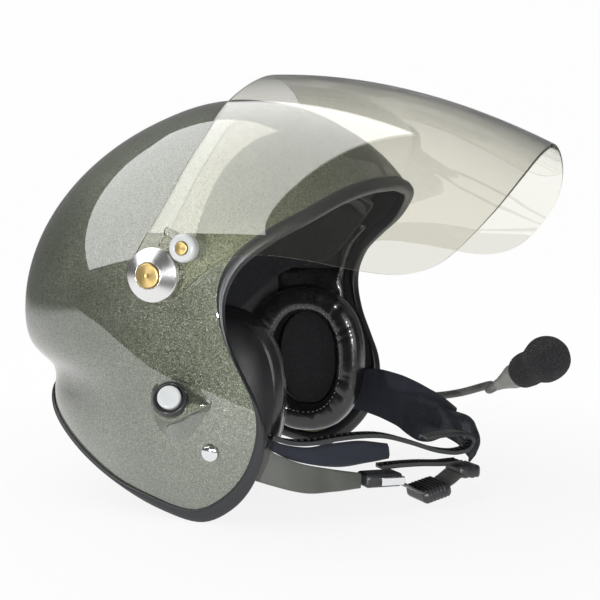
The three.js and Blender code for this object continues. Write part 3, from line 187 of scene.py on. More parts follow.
VISOR_REAR = [
    (0.0927, 0.0), (0.0697, 0.034), (0.0317, 0.1), (-0.0023, 0.159), (-0.0243, 0.215), (-0.0463, 0.29),
    (-0.0713, 0.386), (-0.0813, 0.49), (-0.1003, 0.568), (-0.1233, 0.66),
]
VISOR_FRONT = [
    (-1.0283, 0.48), (-0.9863, 0.39), (-0.9723, 0.33), (-0.9593, 0.285), (-0.9403, 0.24), (-0.9133, 0.19),
    (-0.8813, 0.145), (-0.8503, 0.108), (-0.8133, 0.07), (-0.7733, 0.04), (-0.7233, 0.02), (-0.6583, 0.012),
    (-0.5583, 0.022), (-0.4283, 0.045), (-0.3183, 0.057), (-0.2383, 0.053), (-0.1583, 0.02), (-0.0983, -0.03),
    (-0.0483, -0.066),
]
RIGHT_BAND = [
    (-0.834, -0.305, -0.76, -0.844, -0.305, -0.603), (-0.808, -0.405, -0.79, -0.817, -0.397, -0.641),
    (-0.733, -0.532, -0.831, -0.748, -0.506, -0.698), (-0.626, -0.615, -0.844, -0.641, -0.603, -0.739),
    (-0.51, -0.711, -0.847, -0.51, -0.711, -0.779),
]
LEFT_BAND = [
    (0.832, -0.305, -0.748, 0.844, -0.305, -0.534), (0.748, -0.412, -0.752, 0.794, -0.412, -0.508),
    (0.641, -0.584, -0.789, 0.71, -0.573, -0.519), (0.534, -0.718, -0.836, 0.595, -0.748, -0.56),
    (0.443, -0.824, -0.817, 0.496, -0.863, -0.595), (0.382, -0.901, -0.773, 0.397, -0.953, -0.63),
]
SLEEVE = [
    (-0.786, -0.389, -0.641, -0.794, -0.382, -0.595), (-0.744, -0.458, -0.685, -0.76, -0.443, -0.622),
    (-0.676, -0.542, -0.719, -0.691, -0.527, -0.643), (-0.576, -0.634, -0.744, -0.592, -0.611, -0.639),
    (-0.469, -0.725, -0.742, -0.485, -0.702, -0.642), (-0.386, -0.802, -0.735, -0.378, -0.794, -0.668),
]
LINK = [
    (0.441, -0.824, -0.771, 0.473, -0.847, -0.641), (0.369, -0.892, -0.771, 0.383, -0.94, -0.641),
    (0.229, -1, -0.782, 0.237, -1.05, -0.641), (0.099, -1.057, -0.792, 0.107, -1.107, -0.664),
    (0.008, -1.093, -0.798, -0.008, -1.141, -0.71), (-0.044, -1.101, -0.8, -0.057, -1.134, -0.756),
]
LOWER_WEB = [
    (-0.428, -0.898, -0.836, -0.325, -0.796, -0.836), (-0.364, -0.952, -0.882, -0.261, -0.85, -0.882),
    (-0.303, -1.001, -0.905, -0.2, -0.9, -0.905), (-0.239, -1.055, -0.87, -0.136, -0.953, -0.87),
    (-0.176, -1.097, -0.837, -0.073, -0.995, -0.837),
]
RATCHET = [
    (-0.788, -0.393, -0.595), (-0.752, -0.439, -0.618), (-0.718, -0.481, -0.629), (-0.672, -0.538, -0.632),
    (-0.611, -0.603, -0.625), (-0.489, -0.718, -0.624), (-0.412, -0.786, -0.637), (-0.321, -0.866, -0.674),
    (-0.183, -0.969, -0.734), (-0.092, -1.046, -0.754), (-0.038, -1.092, -0.74), (-0.019, -1.107, -0.702),
    (-0.046, -1.092, -0.666), (-0.107, -1.05, -0.646), (-0.168, -0.992, -0.645), (-0.229, -0.924, -0.653),
]
STRIP = [
    (-0.443, -0.779, -0.768), (-0.378, -0.844, -0.768), (-0.29, -0.912, -0.776), (-0.183, -0.991, -0.792),
    (-0.115, -1.034, -0.797), (-0.088, -1.057, -0.798),
]
BOOM = [
    (0.958, -0.366, -0.695), (0.924, -0.534, -0.676), (0.855, -0.738, -0.653), (0.74, -0.904, -0.608),
    (0.611, -1.084, -0.538),
]
BOSS_FOOT = [
    (0.076, -0.387), (0.08, -0.448), (0.064, -0.524), (0.036, -0.578), (-0.021, -0.608), (-0.077, -0.605),
    (-0.134, -0.555), (-0.182, -0.486), (-0.212, -0.418), (-0.174, -0.372), (-0.11, -0.337), (-0.029, -0.33),
    (0.044, -0.349),
]
CHEEK = [
    (-0.37, 0.272), (-0.265, 0.17), (-0.209, 0.055), (-0.197, -0.02), (-0.197, -0.07), (-0.222, -0.2),
    (-0.277, -0.33), (-0.322, -0.44), (-0.333, -0.475), (-0.205, -0.475), (-0.2, -0.33), (0.1, -0.32),
    (0.2, -0.2), (0.2, 0.03), (-0.16, 0.03), (-0.175, 0.2), (-0.24, 0.27), (-0.31, 0.315),
]
BUCKLE = (-0.443, -0.779, -0.813)
SLIDER = (-0.245, -0.956, -0.896)
STRAP_END = (-0.069, -1.076, -0.832)
MIC_REAR = (0.275, -1.322, -0.399)
RIVET = (-0.0235, -0.0843)
SWITCH_PLACE = (-0.0047, -0.058)
SWITCH_AXIS = Vector((-0.88, -0.25, 0.4)).normalized()
BOOM_SEAT = (-0.0315, -0.097)
MIC_AXIS = Vector((-0.383, -0.785, 0.485)).normalized()
TILT = math.radians(-19.9)  # the shell leans back by this much
POLE = np.array([0.0, math.sin(math.radians(30)), math.cos(math.radians(30))])  # where its rings start
PLAN_POWER = 2.27  # how square the shell is from above; 2 would be an ellipse
SIDE_TAPER, FRONT_TAPER, BACK_TAPER = 0.17, 0.085, 0.2  # how far it draws in towards the rim
GROOVE_START, GROOVE_FULL = 0.012, 0.092  # depths between which the groove fades in
SEARCH_STEPS = 34
VISOR_POWER = 1.7  # how round the visor is from side to side
ARM_SPAN = 0.045  # height of visor arm for one radian of turn
SHEET_SPAN = 0.11  # width of visor sheet for one radian of turn
LOCK_ANGLE = 37.5  # the lock knobs stand this many degrees over the pivots
SLOT_DOWN, SLOT_UP = 32, 10  # degrees of arc slot on either side of the lock stud
RIVET_SINK = 0.0016  # room between the shell's wall and the straps at the rivets
ROOT_WIDTH = 0.024  # width of a strap where it lies along the shell's wall
HARD_GAP, SOFT_GAP = 0.0003, 0.0005  # clearance between hard neighbours, and round the padding
SIDES = (("right", -1), ("left", 1))


def sizes():
    return bpy.context.scene.helmet_shell


def v3(p):
    return Vector((float(p[0]), float(p[1]), float(p[2])))


# The shell's surface

def shell_value(p):
    """Below 0 inside the shell, above 0 outside, without the groove."""
    s = sizes()
    y = p[:, 1] * math.cos(TILT) + p[:, 2] * math.sin(TILT)
    z = -p[:, 1] * math.sin(TILT) + p[:, 2] * math.cos(TILT)
    low = np.where(z < 0, (z / s.low_reach) ** 2, 0.0)
    reach = np.where(y < 0, s.front_reach, s.back_reach)
    taper = np.where(y < 0, FRONT_TAPER, BACK_TAPER)
    width = s.half_width * (1 - SIDE_TAPER * low)
    depth = reach * (1 - taper * low)
    plan = (np.abs(p[:, 0]) / width) ** PLAN_POWER + (np.abs(y) / depth) ** PLAN_POWER
    rise = np.where(z > 0, (z / s.crown_reach) ** 2, 0.0)
    return plan ** (2 / PLAN_POWER) + rise - 1


def ease(x):
    t = np.clip(x, 0, 1)
    return t * t * (3 - 2 * t)


def unit(v):
    return v / np.linalg.norm(v, axis=-1, keepdims=True)


def last_inside(far, is_inside):
    """The largest distances, up to far, that are still inside, found by halving."""
    near = np.zeros(len(far))
    for _ in range(SEARCH_STEPS):
        middle = (near + far) / 2
        held = is_inside(middle)
        near = np.where(held, middle, near)
        far = np.where(held, far, middle)
    return near


def shell_radius(d):
    """How far the painted surface is from the middle in each direction."""
    s = sizes()
    d = np.atleast_2d(d)
    near = last_inside(np.full(len(d), s.half_width + s.back_reach), lambda r: shell_value(d * r[:, None]) < 0)
    p = d * near[:, None]
    along = ease((p[:, 1] - GROOVE_START) / (GROOVE_FULL - GROOVE_START))
    across = (p[:, 2] - s.groove_height) / s.groove_half
    return near - s.groove_depth * along * np.exp(-across * across)


def shell_places(y, z, inset=0.0):
    """Half widths of the shell at many depths and heights."""
    y, z = np.asarray(y, float), np.asarray(z, float)

    def is_inside(x):
        p = np.stack([x, y, z], 1)
        return np.linalg.norm(p, axis=1) < shell_radius(unit(p)) - inset

    return last_inside(np.full(len(y), sizes().half_width * 1.2), is_inside)


def shell_point(y, z, inset=0.0, side=-1):
    """The place on the shell at a depth and a height, on one side."""
    return Vector((float(shell_places([y], [z], inset)[0]) * side, y, z))


def shell_normal(p, step=0.0004):
    """Which way the shell faces at a place on it."""
    def past(q):
        q = np.array(q)
        return np.linalg.norm(q) - shell_radius(unit(q))[0]
    n = [past(p + Vector(a) * step) - past(p - Vector(a) * step) for a in ((1, 0, 0), (0, 1, 0), (0, 0, 1))]
    return Vector(n).normalized()


def spline(points, count, even=True):
    """Centripetal curve through points, sampled evenly by its length or by its points."""
    p = np.array(points, float)
    ends = np.vstack([2 * p[0] - p[1], p, 2 * p[-1] - p[-2]])
    out = []

    def knot(a, b):
        return max(np.linalg.norm(b - a), 1e-9) ** 0.5

    for a, b, c, d in zip(ends, ends[1:], ends[2:], ends[3:]):
        t1 = knot(a, b)
        t2 = t1 + knot(b, c)
        t3 = t2 + knot(c, d)
        for t in np.linspace(t1, t2, 24, endpoint=False):
            a1 = (t1 - t) / t1 * a + t / t1 * b
            a2 = (t2 - t) / (t2 - t1) * b + (t - t1) / (t2 - t1) * c
            a3 = (t3 - t) / (t3 - t2) * c + (t - t2) / (t3 - t2) * d
            b1 = (t2 - t) / t2 * a1 + t / t2 * a2
            b2 = (t3 - t) / (t3 - t1) * a2 + (t - t1) / (t3 - t1) * a3
            out.append((t2 - t) / (t2 - t1) * b1 + (t - t1) / (t2 - t1) * b2)
    out.append(p[-1])
    out = np.array(out)
    run = np.arange(len(out))
    if even:
        run = np.concatenate([[0], np.cumsum(np.linalg.norm(np.diff(out, axis=0), axis=1))])
    at = np.linspace(0, run[-1], count + 1)
    return np.stack([np.interp(at, run, out[:, k]) for k in range(out.shape[1])], 1)


def across_middle(shares):
    """Places in the helmet's middle plane from shares of the shell's half width."""
    half = sizes().half_width
    return [(0, y * half, z * half) for y, z in shares]


def rim_directions(shares, steps):
    """Directions round a rim: down the right side from its shares, and back up the left."""
    places = spline(across_middle(shares), steps)
    places[1:-1, 0] = -shell_places(places[1:-1, 1], places[1:-1, 2])
    right = list(unit(places))
    left = [np.array([-d[0], d[1], d[2]]) for d in right[1:steps][::-1]]
    return np.array(right + left)


def between(a, b, t):
    """The direction a share of the way round from a to b."""
    angle = np.arccos(np.clip((a * b).sum(-1), -1, 1))[..., None]
    t = np.asarray(t)[..., None] if np.ndim(t) else t
    return unit(np.sin((1 - t) * angle) / np.sin(angle) * a + np.sin(t * angle) / np.sin(angle) * b)


def layer_rows(rim, shares, inset):
    """Rings of points from the pole to the rim at an inset, which may be a function of the place."""
    rows = []
    pole = np.broadcast_to(POLE, rim.shape)
    for t in shares:
        d = between(pole, rim, t)
        depth = inset(d, t) if callable(inset) else inset
        rows.append(d * (shell_radius(d) - depth)[:, None])
    return rows


def inside_outline(points, outline):
    """Which of the flat points lie inside a closed outline."""
    x, y = np.asarray(points, float).reshape(-1, 2).T
    hit = np.zeros(len(x), bool)
    for (x0, y0), (x1, y1) in zip(outline, np.roll(outline, -1, 0)):
        if y0 != y1:
            hit ^= ((y0 > y) != (y1 > y)) & (x < (x1 - x0) * (y - y0) / (y1 - y0) + x0)
    return hit


# Making pieces

def new_piece(name, verts, faces, mats, body="root", stands_for=(), slot=None, centre=None):
    """Makes a smooth mesh, rides it on its body and hides the solids it stands for."""
    mesh = bpy.data.meshes.new(name)
    if centre is not None:
        verts = [Vector(v) - centre for v in verts]
    mesh.from_pydata([tuple(map(float, v)) for v in verts], [], faces)
    mesh.validate()
    mesh.update()
    for m in mats if isinstance(mats, (list, tuple)) else [mats]:
        mesh.materials.append(m)
    obj = bpy.data.objects.new(name, mesh)
    bpy.context.scene.collection.objects.link(obj)
    if centre is not None:
        obj.location = centre
    mesh.polygons.foreach_set("use_smooth", [True] * len(mesh.polygons))
    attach(obj, body)
    if stands_for:
        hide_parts(*stands_for)
    return obj


def face_outward(obj, weld=None):
    """Turns all faces outwards, after joining points closer than weld."""
    bm = bmesh.new()
    bm.from_mesh(obj.data)
    if weld:
        bmesh.ops.remove_doubles(bm, verts=bm.verts, dist=weld)
    bmesh.ops.recalc_face_normals(bm, faces=bm.faces)
    bm.to_mesh(obj.data)
    bm.free()


def crease(obj, degrees):
    obj.data.set_sharp_from_angle(angle=math.radians(degrees))


def two_skins(outer, inner, faces):
    """Closed solid from two skins that share their faces, walled where these end."""
    n = len(outer)
    edges = {(a, b): True for face in faces for a, b in zip(face, face[1:] + face[:1])}
    walls = [(a, n + a, n + b, b) for a, b in edges if (b, a) not in edges]
    return [*outer, *inner], faces + [tuple(n + i for i in face[::-1]) for face in faces] + walls


def dome_mesh(rim, shares, outer, inner):
    """Shell of two skins from the pole to the rim; kinds says which faces are the outer skin's (0)."""
    n = len(rim)
    verts, faces, kinds = [], [], []

    def add_skin(inset, kind):
        start = len(verts)
        depth = inset(POLE[None], 0.0)[0] if callable(inset) else inset
        verts.append(POLE * (shell_radius(POLE)[0] - depth))
        for row in layer_rows(rim, shares, inset):
            verts.extend(row)
        turn = -1 if kind else 1
        for i in range(n):
            k = (i + 1) % n
            faces.append((start, start + 1 + i, start + 1 + k)[::turn])
            for j in range(len(shares) - 1):
                a, b = start + 1 + j * n + i, start + 1 + j * n + k
                faces.append((a, a + n, b + n, b)[::turn])
        kinds.extend([kind] * (n * len(shares)))
        return start + 1 + (len(shares) - 1) * n

    end_out, end_in = add_skin(outer, 0), add_skin(inner, 1)
    for i in range(n):
        k = (i + 1) % n
        faces.append((end_out + i, end_in + i, end_in + k, end_out + k))
        kinds.append(1)
    return verts, faces, kinds


def circle(count):
    """Cosines and sines round a full turn."""
    return [(math.cos(2 * math.pi * i / count), math.sin(2 * math.pi * i / count)) for i in range(count)]


def turned_piece(name, profile, place, axis, look, body="root", sides=72, **kw):
    """Turned solid: radius and height pairs about an axis."""
    turn = Vector((0, 0, 1)).rotation_difference(axis).to_matrix()
    verts, faces, rings = [], [], []
    for p in (Vector(pair) for pair in profile):
        spots = [(0.0, 0.0)] if p.x < 1e-9 else circle(sides)
        rings.append(range(len(verts), len(verts) + len(spots)))
        verts += [place + turn @ Vector((p.x * c, p.x * s, p.y)) for c, s in spots]
    for r0, r1 in zip(rings, rings[1:]):
        for i in range(sides):
            k = (i + 1) % sides
            if len(r0) == 1 and len(r1) == 1:
                continue
            if len(r0) == 1:
                faces.append((r0[0], r1[i], r1[k]))
            elif len(r1) == 1:
                faces.append((r0[i], r0[k], r1[0]))
            else:
                faces.append((r0[i], r0[k], r1[k], r1[i]))
    obj = new_piece(name, verts, faces, finish(look), body, centre=place, **kw)
    face_outward(obj, weld=1e-6)
    crease(obj, 28)


def rounded_profile(profile, radius, steps=4):
    """Rounds the inner corners of a turned profile."""
    pts = [Vector(p) for p in profile]
    out = [pts[0]]
    for a, b, c in zip(pts, pts[1:], pts[2:]):
        u, w = (a - b), (c - b)
        lu, lw = u.length, w.length
        if lu < 1e-9 or lw < 1e-9:
            out.append(b)
            continue
        r = min(radius, lu * 0.45, lw * 0.45)
        p0, p1 = b + u / lu * r, b + w / lw * r
        for k in range(steps + 1):
            t = k / steps
            out.append(p0 * (1 - t) ** 2 + b * 2 * t * (1 - t) + p1 * t ** 2)
    out.append(pts[-1])
    return [(p.x, p.y) for p in out]


def grid_piece(name, rows, look, sharp=None, closed=False, uv=None, **kw):
    """Piece from rings of points: ring joined to ring, and the two end rings capped unless closed."""
    n, m = len(rows[0]), len(rows)
    verts = [p for r in rows for p in r]
    faces = []
    for i in range(m if closed else m - 1):
        for j in range(n):
            k, up = (j + 1) % n, (i + 1) % m
            faces.append((i * n + j, i * n + k, up * n + k, up * n + j))
    if not closed:
        faces.append(tuple(range(n))[::-1])
        faces.append(tuple(range((m - 1) * n, m * n)))
    obj = new_piece(name, verts, faces, finish(look), **kw)
    if uv is not None:
        layer = obj.data.uv_layers.new(name="UVMap")
        coords = np.array([spot for row in uv for spot in row], float)
        loops = np.zeros(len(obj.data.loops), dtype=np.int32)
        obj.data.loops.foreach_get("vertex_index", loops)
        layer.data.foreach_set("uv", coords[loops].ravel())
    face_outward(obj)
    if sharp:
        crease(obj, sharp)
    return obj


# Finishes

FINISHES = {}


def finish(name):
    return FINISHES[name]


class Nodes:
    """Short ways to add shader nodes to a tree."""

    def __init__(self, tree):
        self.tree = tree

    def put(self, socket, value):
        """Links a socket to an input, or writes a value or colour there."""
        if isinstance(value, bpy.types.NodeSocket):
            self.tree.links.new(value, socket)
        elif isinstance(value, tuple) and len(value) < len(socket.default_value):
            socket.default_value = (*value, 1)
        else:
            socket.default_value = value

    def add(self, kind, *values, **settings):
        """Adds a node with its settings, and fills its inputs in turn."""
        node = self.tree.nodes.new(kind)
        for key, value in settings.items():
            setattr(node, key, value)
        for socket, value in zip(node.inputs, values):
            if value is not None:
                self.put(socket, value)
        return node

    def math(self, operation, a, b=None):
        return self.add("ShaderNodeMath", a, b, operation=operation).outputs[0]

    def vector(self, operation, a, b=None, scale=None):
        """A vector node itself, since some give a value and some a vector."""
        return self.add("ShaderNodeVectorMath", a, b, None, scale, operation=operation)

    def split(self, vector):
        return self.add("ShaderNodeSeparateXYZ", vector).outputs

    def straight_view(self):
        """1 for what the camera sees at once or through the visor, 0 for light that came off a surface."""
        path = self.add("ShaderNodeLightPath").outputs
        bounces = self.math("ADD", path["Diffuse Depth"], path["Glossy Depth"])
        through = self.math("MULTIPLY", path["Is Transmission Ray"], self.math("LESS_THAN", bounces, 0.5))
        return path, self.math("MAXIMUM", path["Is Camera Ray"], through)


class Finish(Nodes):
    """A material, kept under its name, with its textures laid by the piece's own coordinates."""

    def __init__(self, name):
        self.mat = bpy.data.materials.new(name)
        self.mat.use_nodes = True
        super().__init__(self.mat.node_tree)
        self.tree.nodes.clear()
        self.shader = self.add("ShaderNodeBsdfPrincipled")
        self.out = self.add("ShaderNodeOutputMaterial", self.shader.outputs[0])
        self.at = self.add("ShaderNodeMapping", self.add("ShaderNodeTexCoord").outputs["Object"]).outputs[0]
        FINISHES[name] = self.mat

    def base(self, **values):
        """Fills inputs of the main shader by their names."""
        for key, value in values.items():
            name = key.replace("_", " ").title().replace("Ior", "IOR")
            self.put(self.shader.inputs[name], value)

    def blend(self, share, other):
        """Shows another shader for a share of the light."""
        both = self.add("ShaderNodeMixShader", share, self.shader.outputs[0], other.outputs[0])
        self.put(self.out.inputs[0], both.outputs[0])

    def noise(self, scale, detail=3, rough=0.5):
        n = self.add("ShaderNodeTexNoise", self.at)
        for key, value in (("Scale", scale), ("Detail", detail), ("Roughness", rough)):
            n.inputs[key].default_value = value
        return n.outputs["Fac"]

    def cells(self, scale, output="Distance", feature="F1"):
        n = self.add("ShaderNodeTexVoronoi", self.at, feature=feature)
        n.inputs["Scale"].default_value = scale
        return n.outputs[output]

    def ramp(self, value, *stops):
        n = self.add("ShaderNodeValToRGB", value)
        e = n.color_ramp.elements
        while len(e) < len(stops):
            e.new(0.5)
        for item, (at, c) in zip(e, stops):
            item.position = at
            item.color = (*(c if isinstance(c, tuple) else (c, c, c)), 1)
        return n.outputs[0]

    def mix(self, share, a, b):
        n = self.add("ShaderNodeMix", share, data_type="RGBA")
        self.put(n.inputs[6], a)
        self.put(n.inputs[7], b)
        return n.outputs[2]

    def bump(self, height, strength, distance, normal=None):
        n = self.add("ShaderNodeBump")
        for key, value in (("Strength", strength), ("Distance", distance), ("Height", height), ("Normal", normal)):
            if value is not None:
                self.put(n.inputs[key], value)
        return n.outputs[0]

    def vary(self, value, low, high):
        return self.add("ShaderNodeMapRange", value, None, None, low, high).outputs[0]

    def cloudy(self, texture, dark, light, low=0.3, high=0.8):
        """A tone between two colours."""
        return self.ramp(texture, (low, dark), (high, light))

    def paler_edges(self, share, colour, pale):
        """A colour that is a little paler where the surface bends outwards."""
        bends = self.ramp(self.add("ShaderNodeNewGeometry").outputs["Pointiness"], (0.5, 0.0), (0.56, 1.0))
        return self.mix(self.math("MULTIPLY", bends, share), colour, pale)


def times(colour, factor):
    return tuple(x * factor for x in colour)


def turned_metal(name, tint, rough, turned):
    """Metal with fine rings about the axis on which it was turned."""
    f = Finish(name)
    apart = f.split(f.at)
    away = f.math("SQRT", f.math("ADD", f.math("POWER", apart[1], 2.0), f.math("POWER", apart[2], 2.0)))
    rings = f.add("ShaderNodeTexNoise", noise_dimensions="1D")
    for key, value in (("W", f.math("MULTIPLY", away, 5200.0)), ("Scale", 1.0), ("Detail", 2.0)):
        f.put(rings.inputs[key], value)
    rings = rings.outputs["Fac"]
    tangent = f.add("ShaderNodeTangent", direction_type="RADIAL", axis="X").outputs[0]
    f.base(base_color=f.cloudy(rings, times(tint, 0.88), tint, high=0.7), metallic=1.0, roughness=rough,
           anisotropic=turned, tangent=tangent, normal=f.bump(rings, 0.12, 0.0001))


def woven(name, dark, light, across, along, rough, strength):
    """Webbing by its own length and width: ribs across, yarns along."""
    f = Finish(name)
    u, v, _ = f.split(f.add("ShaderNodeTexCoord").outputs["UV"])
    yarn = f.math("MULTIPLY", v, across)
    step = f.math("MULTIPLY", f.math("FLOOR", yarn), 0.5)

    def wave(value):
        return f.math("ABSOLUTE", f.math("SINE", f.math("MULTIPLY", value, math.pi)))

    ribs = wave(f.math("ADD", f.math("MULTIPLY", u, along), step))
    height = f.math("MULTIPLY", f.math("POWER", ribs, 0.6), f.math("POWER", wave(yarn), 0.5))
    tone = f.math("ADD", f.math("MULTIPLY", height, 0.75), f.math("MULTIPLY", f.noise(60), 0.35))
    f.base(base_color=f.cloudy(tone, dark, light, 0.1, 0.95), roughness=rough, sheen_weight=0.12,
           sheen_roughness=0.35,
           normal=f.bump(f.noise(3500, 3, 0.7), 0.25, 0.0002, f.bump(height, strength, 0.0005)))


def paint_finish(dark, light):
    """Metallic paint: flakes that lean each their own way, under a thick clear coat."""
    f = Finish("shell_paint")
    flakes = f.cells(2700, "Color")
    red = f.add("ShaderNodeSeparateColor", flakes).outputs[0]
    tone = f.math("ADD", f.math("MULTIPLY", red, 0.7), f.math("MULTIPLY", f.noise(18, 2), 0.3))
    lean = f.vector("SUBTRACT", flakes, (0.5, 0.5, 0.5)).outputs[0]
    lean = f.vector("SCALE", lean, scale=0.55).outputs[0]
    facing = f.vector("ADD", f.add("ShaderNodeNewGeometry").outputs["Normal"], lean).outputs[0]
    # Flake tone differs at random; the palest flakes, past 0.87 on the ramp, are painted sparkle highlights.
    f.base(base_color=f.ramp(tone, (0.2, dark), (0.66, light), (0.82, light), (0.87, (0.37, 0.39, 0.35))),
           metallic=0.72, roughness=0.45, normal=f.vector("NORMALIZE", facing).outputs[0], coat_weight=1.0,
           coat_roughness=0.015, coat_normal=f.bump(f.noise(260, 2), 0.012, 0.0006), coat_ior=2.3)


def visor_finish(tint):
    """Clear tinted sheet that lets the lamps' light through without bending it."""
    f = Finish("visor_clear")
    f.base(base_color=tint, transmission_weight=1.0, ior=1.45, metallic=0.0, coat_weight=1.0, coat_ior=1.6,
           coat_roughness=0.0, roughness=f.ramp(f.noise(14), (0.45, 0.0), (0.85, 0.02)),
           normal=f.bump(f.noise(30, 2), 0.02, 0.001))
    clear = f.add("ShaderNodeBsdfTransparent", (*[v ** 0.5 for v in tint], 1))
    f.blend(f.add("ShaderNodeLightPath").outputs["Is Shadow Ray"], clear)


def make_finishes():
    """Makes every finish from the panel's colours."""
    c = bpy.context.scene.helmet_colours
    rgb = {k: tuple(getattr(c, k)) for k in c.__annotations__}
    paint_finish(rgb["shell_dark"], rgb["shell_light"])
    visor_finish(rgb["visor"])
    turned_metal("knob_aluminium", (0.91, 0.91, 0.90), 0.24, 0.75)
    turned_metal("cap_brass", rgb["brass"], 0.36, 0.4)
    turned_metal("bolt_steel", (0.55, 0.56, 0.58), 0.3, 0.3)
    woven("strap_webbing", times(rgb["webbing"], 0.7), times(rgb["webbing"], 1.3), 1500, 1150, 0.42, 0.35)
    woven("strap_band", times(rgb["band"], 0.6), times(rgb["band"], 1.7), 1100, 850, 0.8, 0.6)

    f = Finish("shell_inside")  # bare below the padding, black over it
    bare = f.cloudy(f.noise(45, 4, 0.6), times(rgb["shell_inside"], 0.72), rgb["shell_inside"], high=0.75)
    padded = f.math("GREATER_THAN", f.split(f.at)["Z"], -0.078)
    f.base(base_color=f.mix(padded, bare, (0.008, 0.0085, 0.011)), roughness=0.62,
           normal=f.bump(f.cells(420), 0.25, 0.0004))

    f = Finish("edge_rubber")
    f.base(base_color=f.paler_edges(0.25, rgb["rubber"], (0.06, 0.062, 0.068)), roughness=f.vary(f.noise(120), 0.32, 0.44),
           normal=f.bump(f.noise(2600, 2, 0.6), 0.12, 0.0002), specular_ior_level=0.6)

    f = Finish("liner_foam")
    grey = f.add("ShaderNodeRGBToBW", f.cells(330, "Color")).outputs[0]
    f.base(base_color=f.cloudy(grey, (0.010, 0.010, 0.011), (0.022, 0.022, 0.024), 0.1, 0.9), roughness=0.82,
           normal=f.bump(f.cells(330), 0.6, 0.0009))

    f = Finish("lining_fabric")
    loops = f.cells(1150)
    tone = f.math("MULTIPLY", loops, f.noise(240, 3, 0.6))
    f.base(base_color=f.cloudy(tone, rgb["cloth"], (0.022, 0.023, 0.028), 0.05, 0.6), roughness=0.95,
           sheen_weight=0.08, sheen_roughness=0.45,
           normal=f.bump(f.noise(1900, 4, 0.7), 0.5, 0.0005, f.bump(loops, 0.8, 0.0008)))

    f = Finish("cup_plastic")
    f.base(base_color=f.cloudy(f.noise(90), rgb["black"], (0.014, 0.014, 0.0165)),
           roughness=f.vary(f.noise(500, 2), 0.42, 0.6), normal=f.bump(f.noise(1500, 2), 0.25, 0.0002))

    f = Finish("seal_leather")
    folds = f.noise(70, 4, 0.55)
    grain = f.cells(900, feature="DISTANCE_TO_EDGE")
    f.base(base_color=f.cloudy(folds, rgb["leather"], (0.017, 0.0165, 0.018), high=0.75),
           roughness=f.vary(folds, 0.2, 0.34), coat_weight=0.7, coat_roughness=0.14,
           normal=f.bump(grain, 0.22, 0.00025, f.bump(folds, 0.35, 0.0012)))

    f = Finish("foam_fabric")
    pores = f.cells(1250)
    f.base(base_color=f.ramp(pores, (0.0, (0.002, 0.002, 0.003)), (0.55, rgb["foam"]), (1.0, (0.026, 0.026, 0.03))),
           roughness=1.0, sheen_weight=0.05, sheen_roughness=0.6,
           normal=f.bump(pores, 0.9, 0.0007, f.bump(f.noise(2600, 3, 0.7), 0.4, 0.0004)))

    f = Finish("visor_edge")
    f.base(base_color=f.cloudy(f.noise(120), (0.16, 0.16, 0.115), (0.34, 0.34, 0.27)), transmission_weight=0.35,
           ior=1.45, roughness=f.vary(f.noise(300, 2), 0.2, 0.4))

    f = Finish("seam_thread")
    f.base(base_color=f.cloudy(f.noise(900, 3, 0.6), (0.16, 0.16, 0.155), (0.38, 0.38, 0.36)),
           roughness=f.vary(f.noise(700, 2), 0.5, 0.7), normal=f.bump(f.noise(2400, 3, 0.6), 0.3, 0.0001))

    f = Finish("hardware_plastic")
    f.base(base_color=f.paler_edges(0.4, rgb["black"], (0.09, 0.09, 0.095)), roughness=f.vary(f.noise(160, 3, 0.6), 0.2, 0.4),
           normal=f.bump(f.noise(1300, 2), 0.1, 0.0002))

    f = Finish("lock_white")
    f.base(base_color=f.cloudy(f.noise(60), (0.50, 0.52, 0.52), (0.60, 0.615, 0.615)),
           roughness=f.vary(f.noise(220, 2), 0.16, 0.28), coat_weight=0.5, coat_roughness=0.08)

    f = Finish("rivet_chrome")
    f.base(base_color=(0.82, 0.83, 0.84), metallic=1.0, roughness=f.vary(f.noise(400, 4, 0.6), 0.08, 0.2),
           normal=f.bump(f.noise(900, 2), 0.05, 0.0001))

    f = Finish("ratchet_plastic")
    f.base(base_color=f.paler_edges(0.3, (0.0065, 0.007, 0.008), (0.05, 0.052, 0.055)),
           roughness=f.vary(f.noise(200), 0.26, 0.42), normal=f.bump(f.noise(900, 2), 0.12, 0.0002))

    f = Finish("boom_rubber")
    f.base(base_color=f.cloudy(f.noise(110), times(rgb["boom"], 0.7), rgb["boom"]), roughness=0.48,
           normal=f.bump(f.noise(1800, 2, 0.6), 0.2, 0.0002))

    f = Finish("mic_plastic")
    f.base(base_color=f.cloudy(f.noise(90), (0.2, 0.205, 0.19), (0.33, 0.335, 0.315)),
           roughness=f.vary(f.noise(260, 2), 0.2, 0.36), normal=f.bump(f.noise(1200, 2), 0.08, 0.0002),
           subsurface_weight=0.1, subsurface_radius=(0.002, 0.002, 0.002), subsurface_scale=0.5)


# One operator for each piece or group of like pieces

class PieceMaker(bpy.types.Operator):
    bl_options = {"REGISTER", "UNDO"}

    def execute(self, context):
        self.make(context)
        return {"FINISHED"}


class HELMET_OT_camera(PieceMaker):
    """Stands the camera where the helmet is seen from its right front"""
    bl_idname = "helmet.camera"
    bl_label = "Camera"

    def make(self, context):
        s = context.scene.helmet_stage
        data = bpy.data.cameras.new("camera")
        data.lens = s.lens
        data.sensor_width = 36.0
        data.clip_start = 0.01
        data.dof.use_dof = False
        cam = bpy.data.objects.new("camera", data)
        context.scene.collection.objects.link(cam)
        turn, rise = s.camera_turn, s.camera_rise
        back = Vector((math.sin(turn) * math.cos(rise), -math.cos(turn) * math.cos(rise), math.sin(rise)))
        right = Vector((math.cos(turn), math.sin(turn), 0))
        up = back.cross(right)
        turn = Matrix((right, up, back)).transposed().to_4x4()
        cam.matrix_world = Matrix.Translation(Vector(s.camera_place)) @ turn
        context.scene.camera = cam


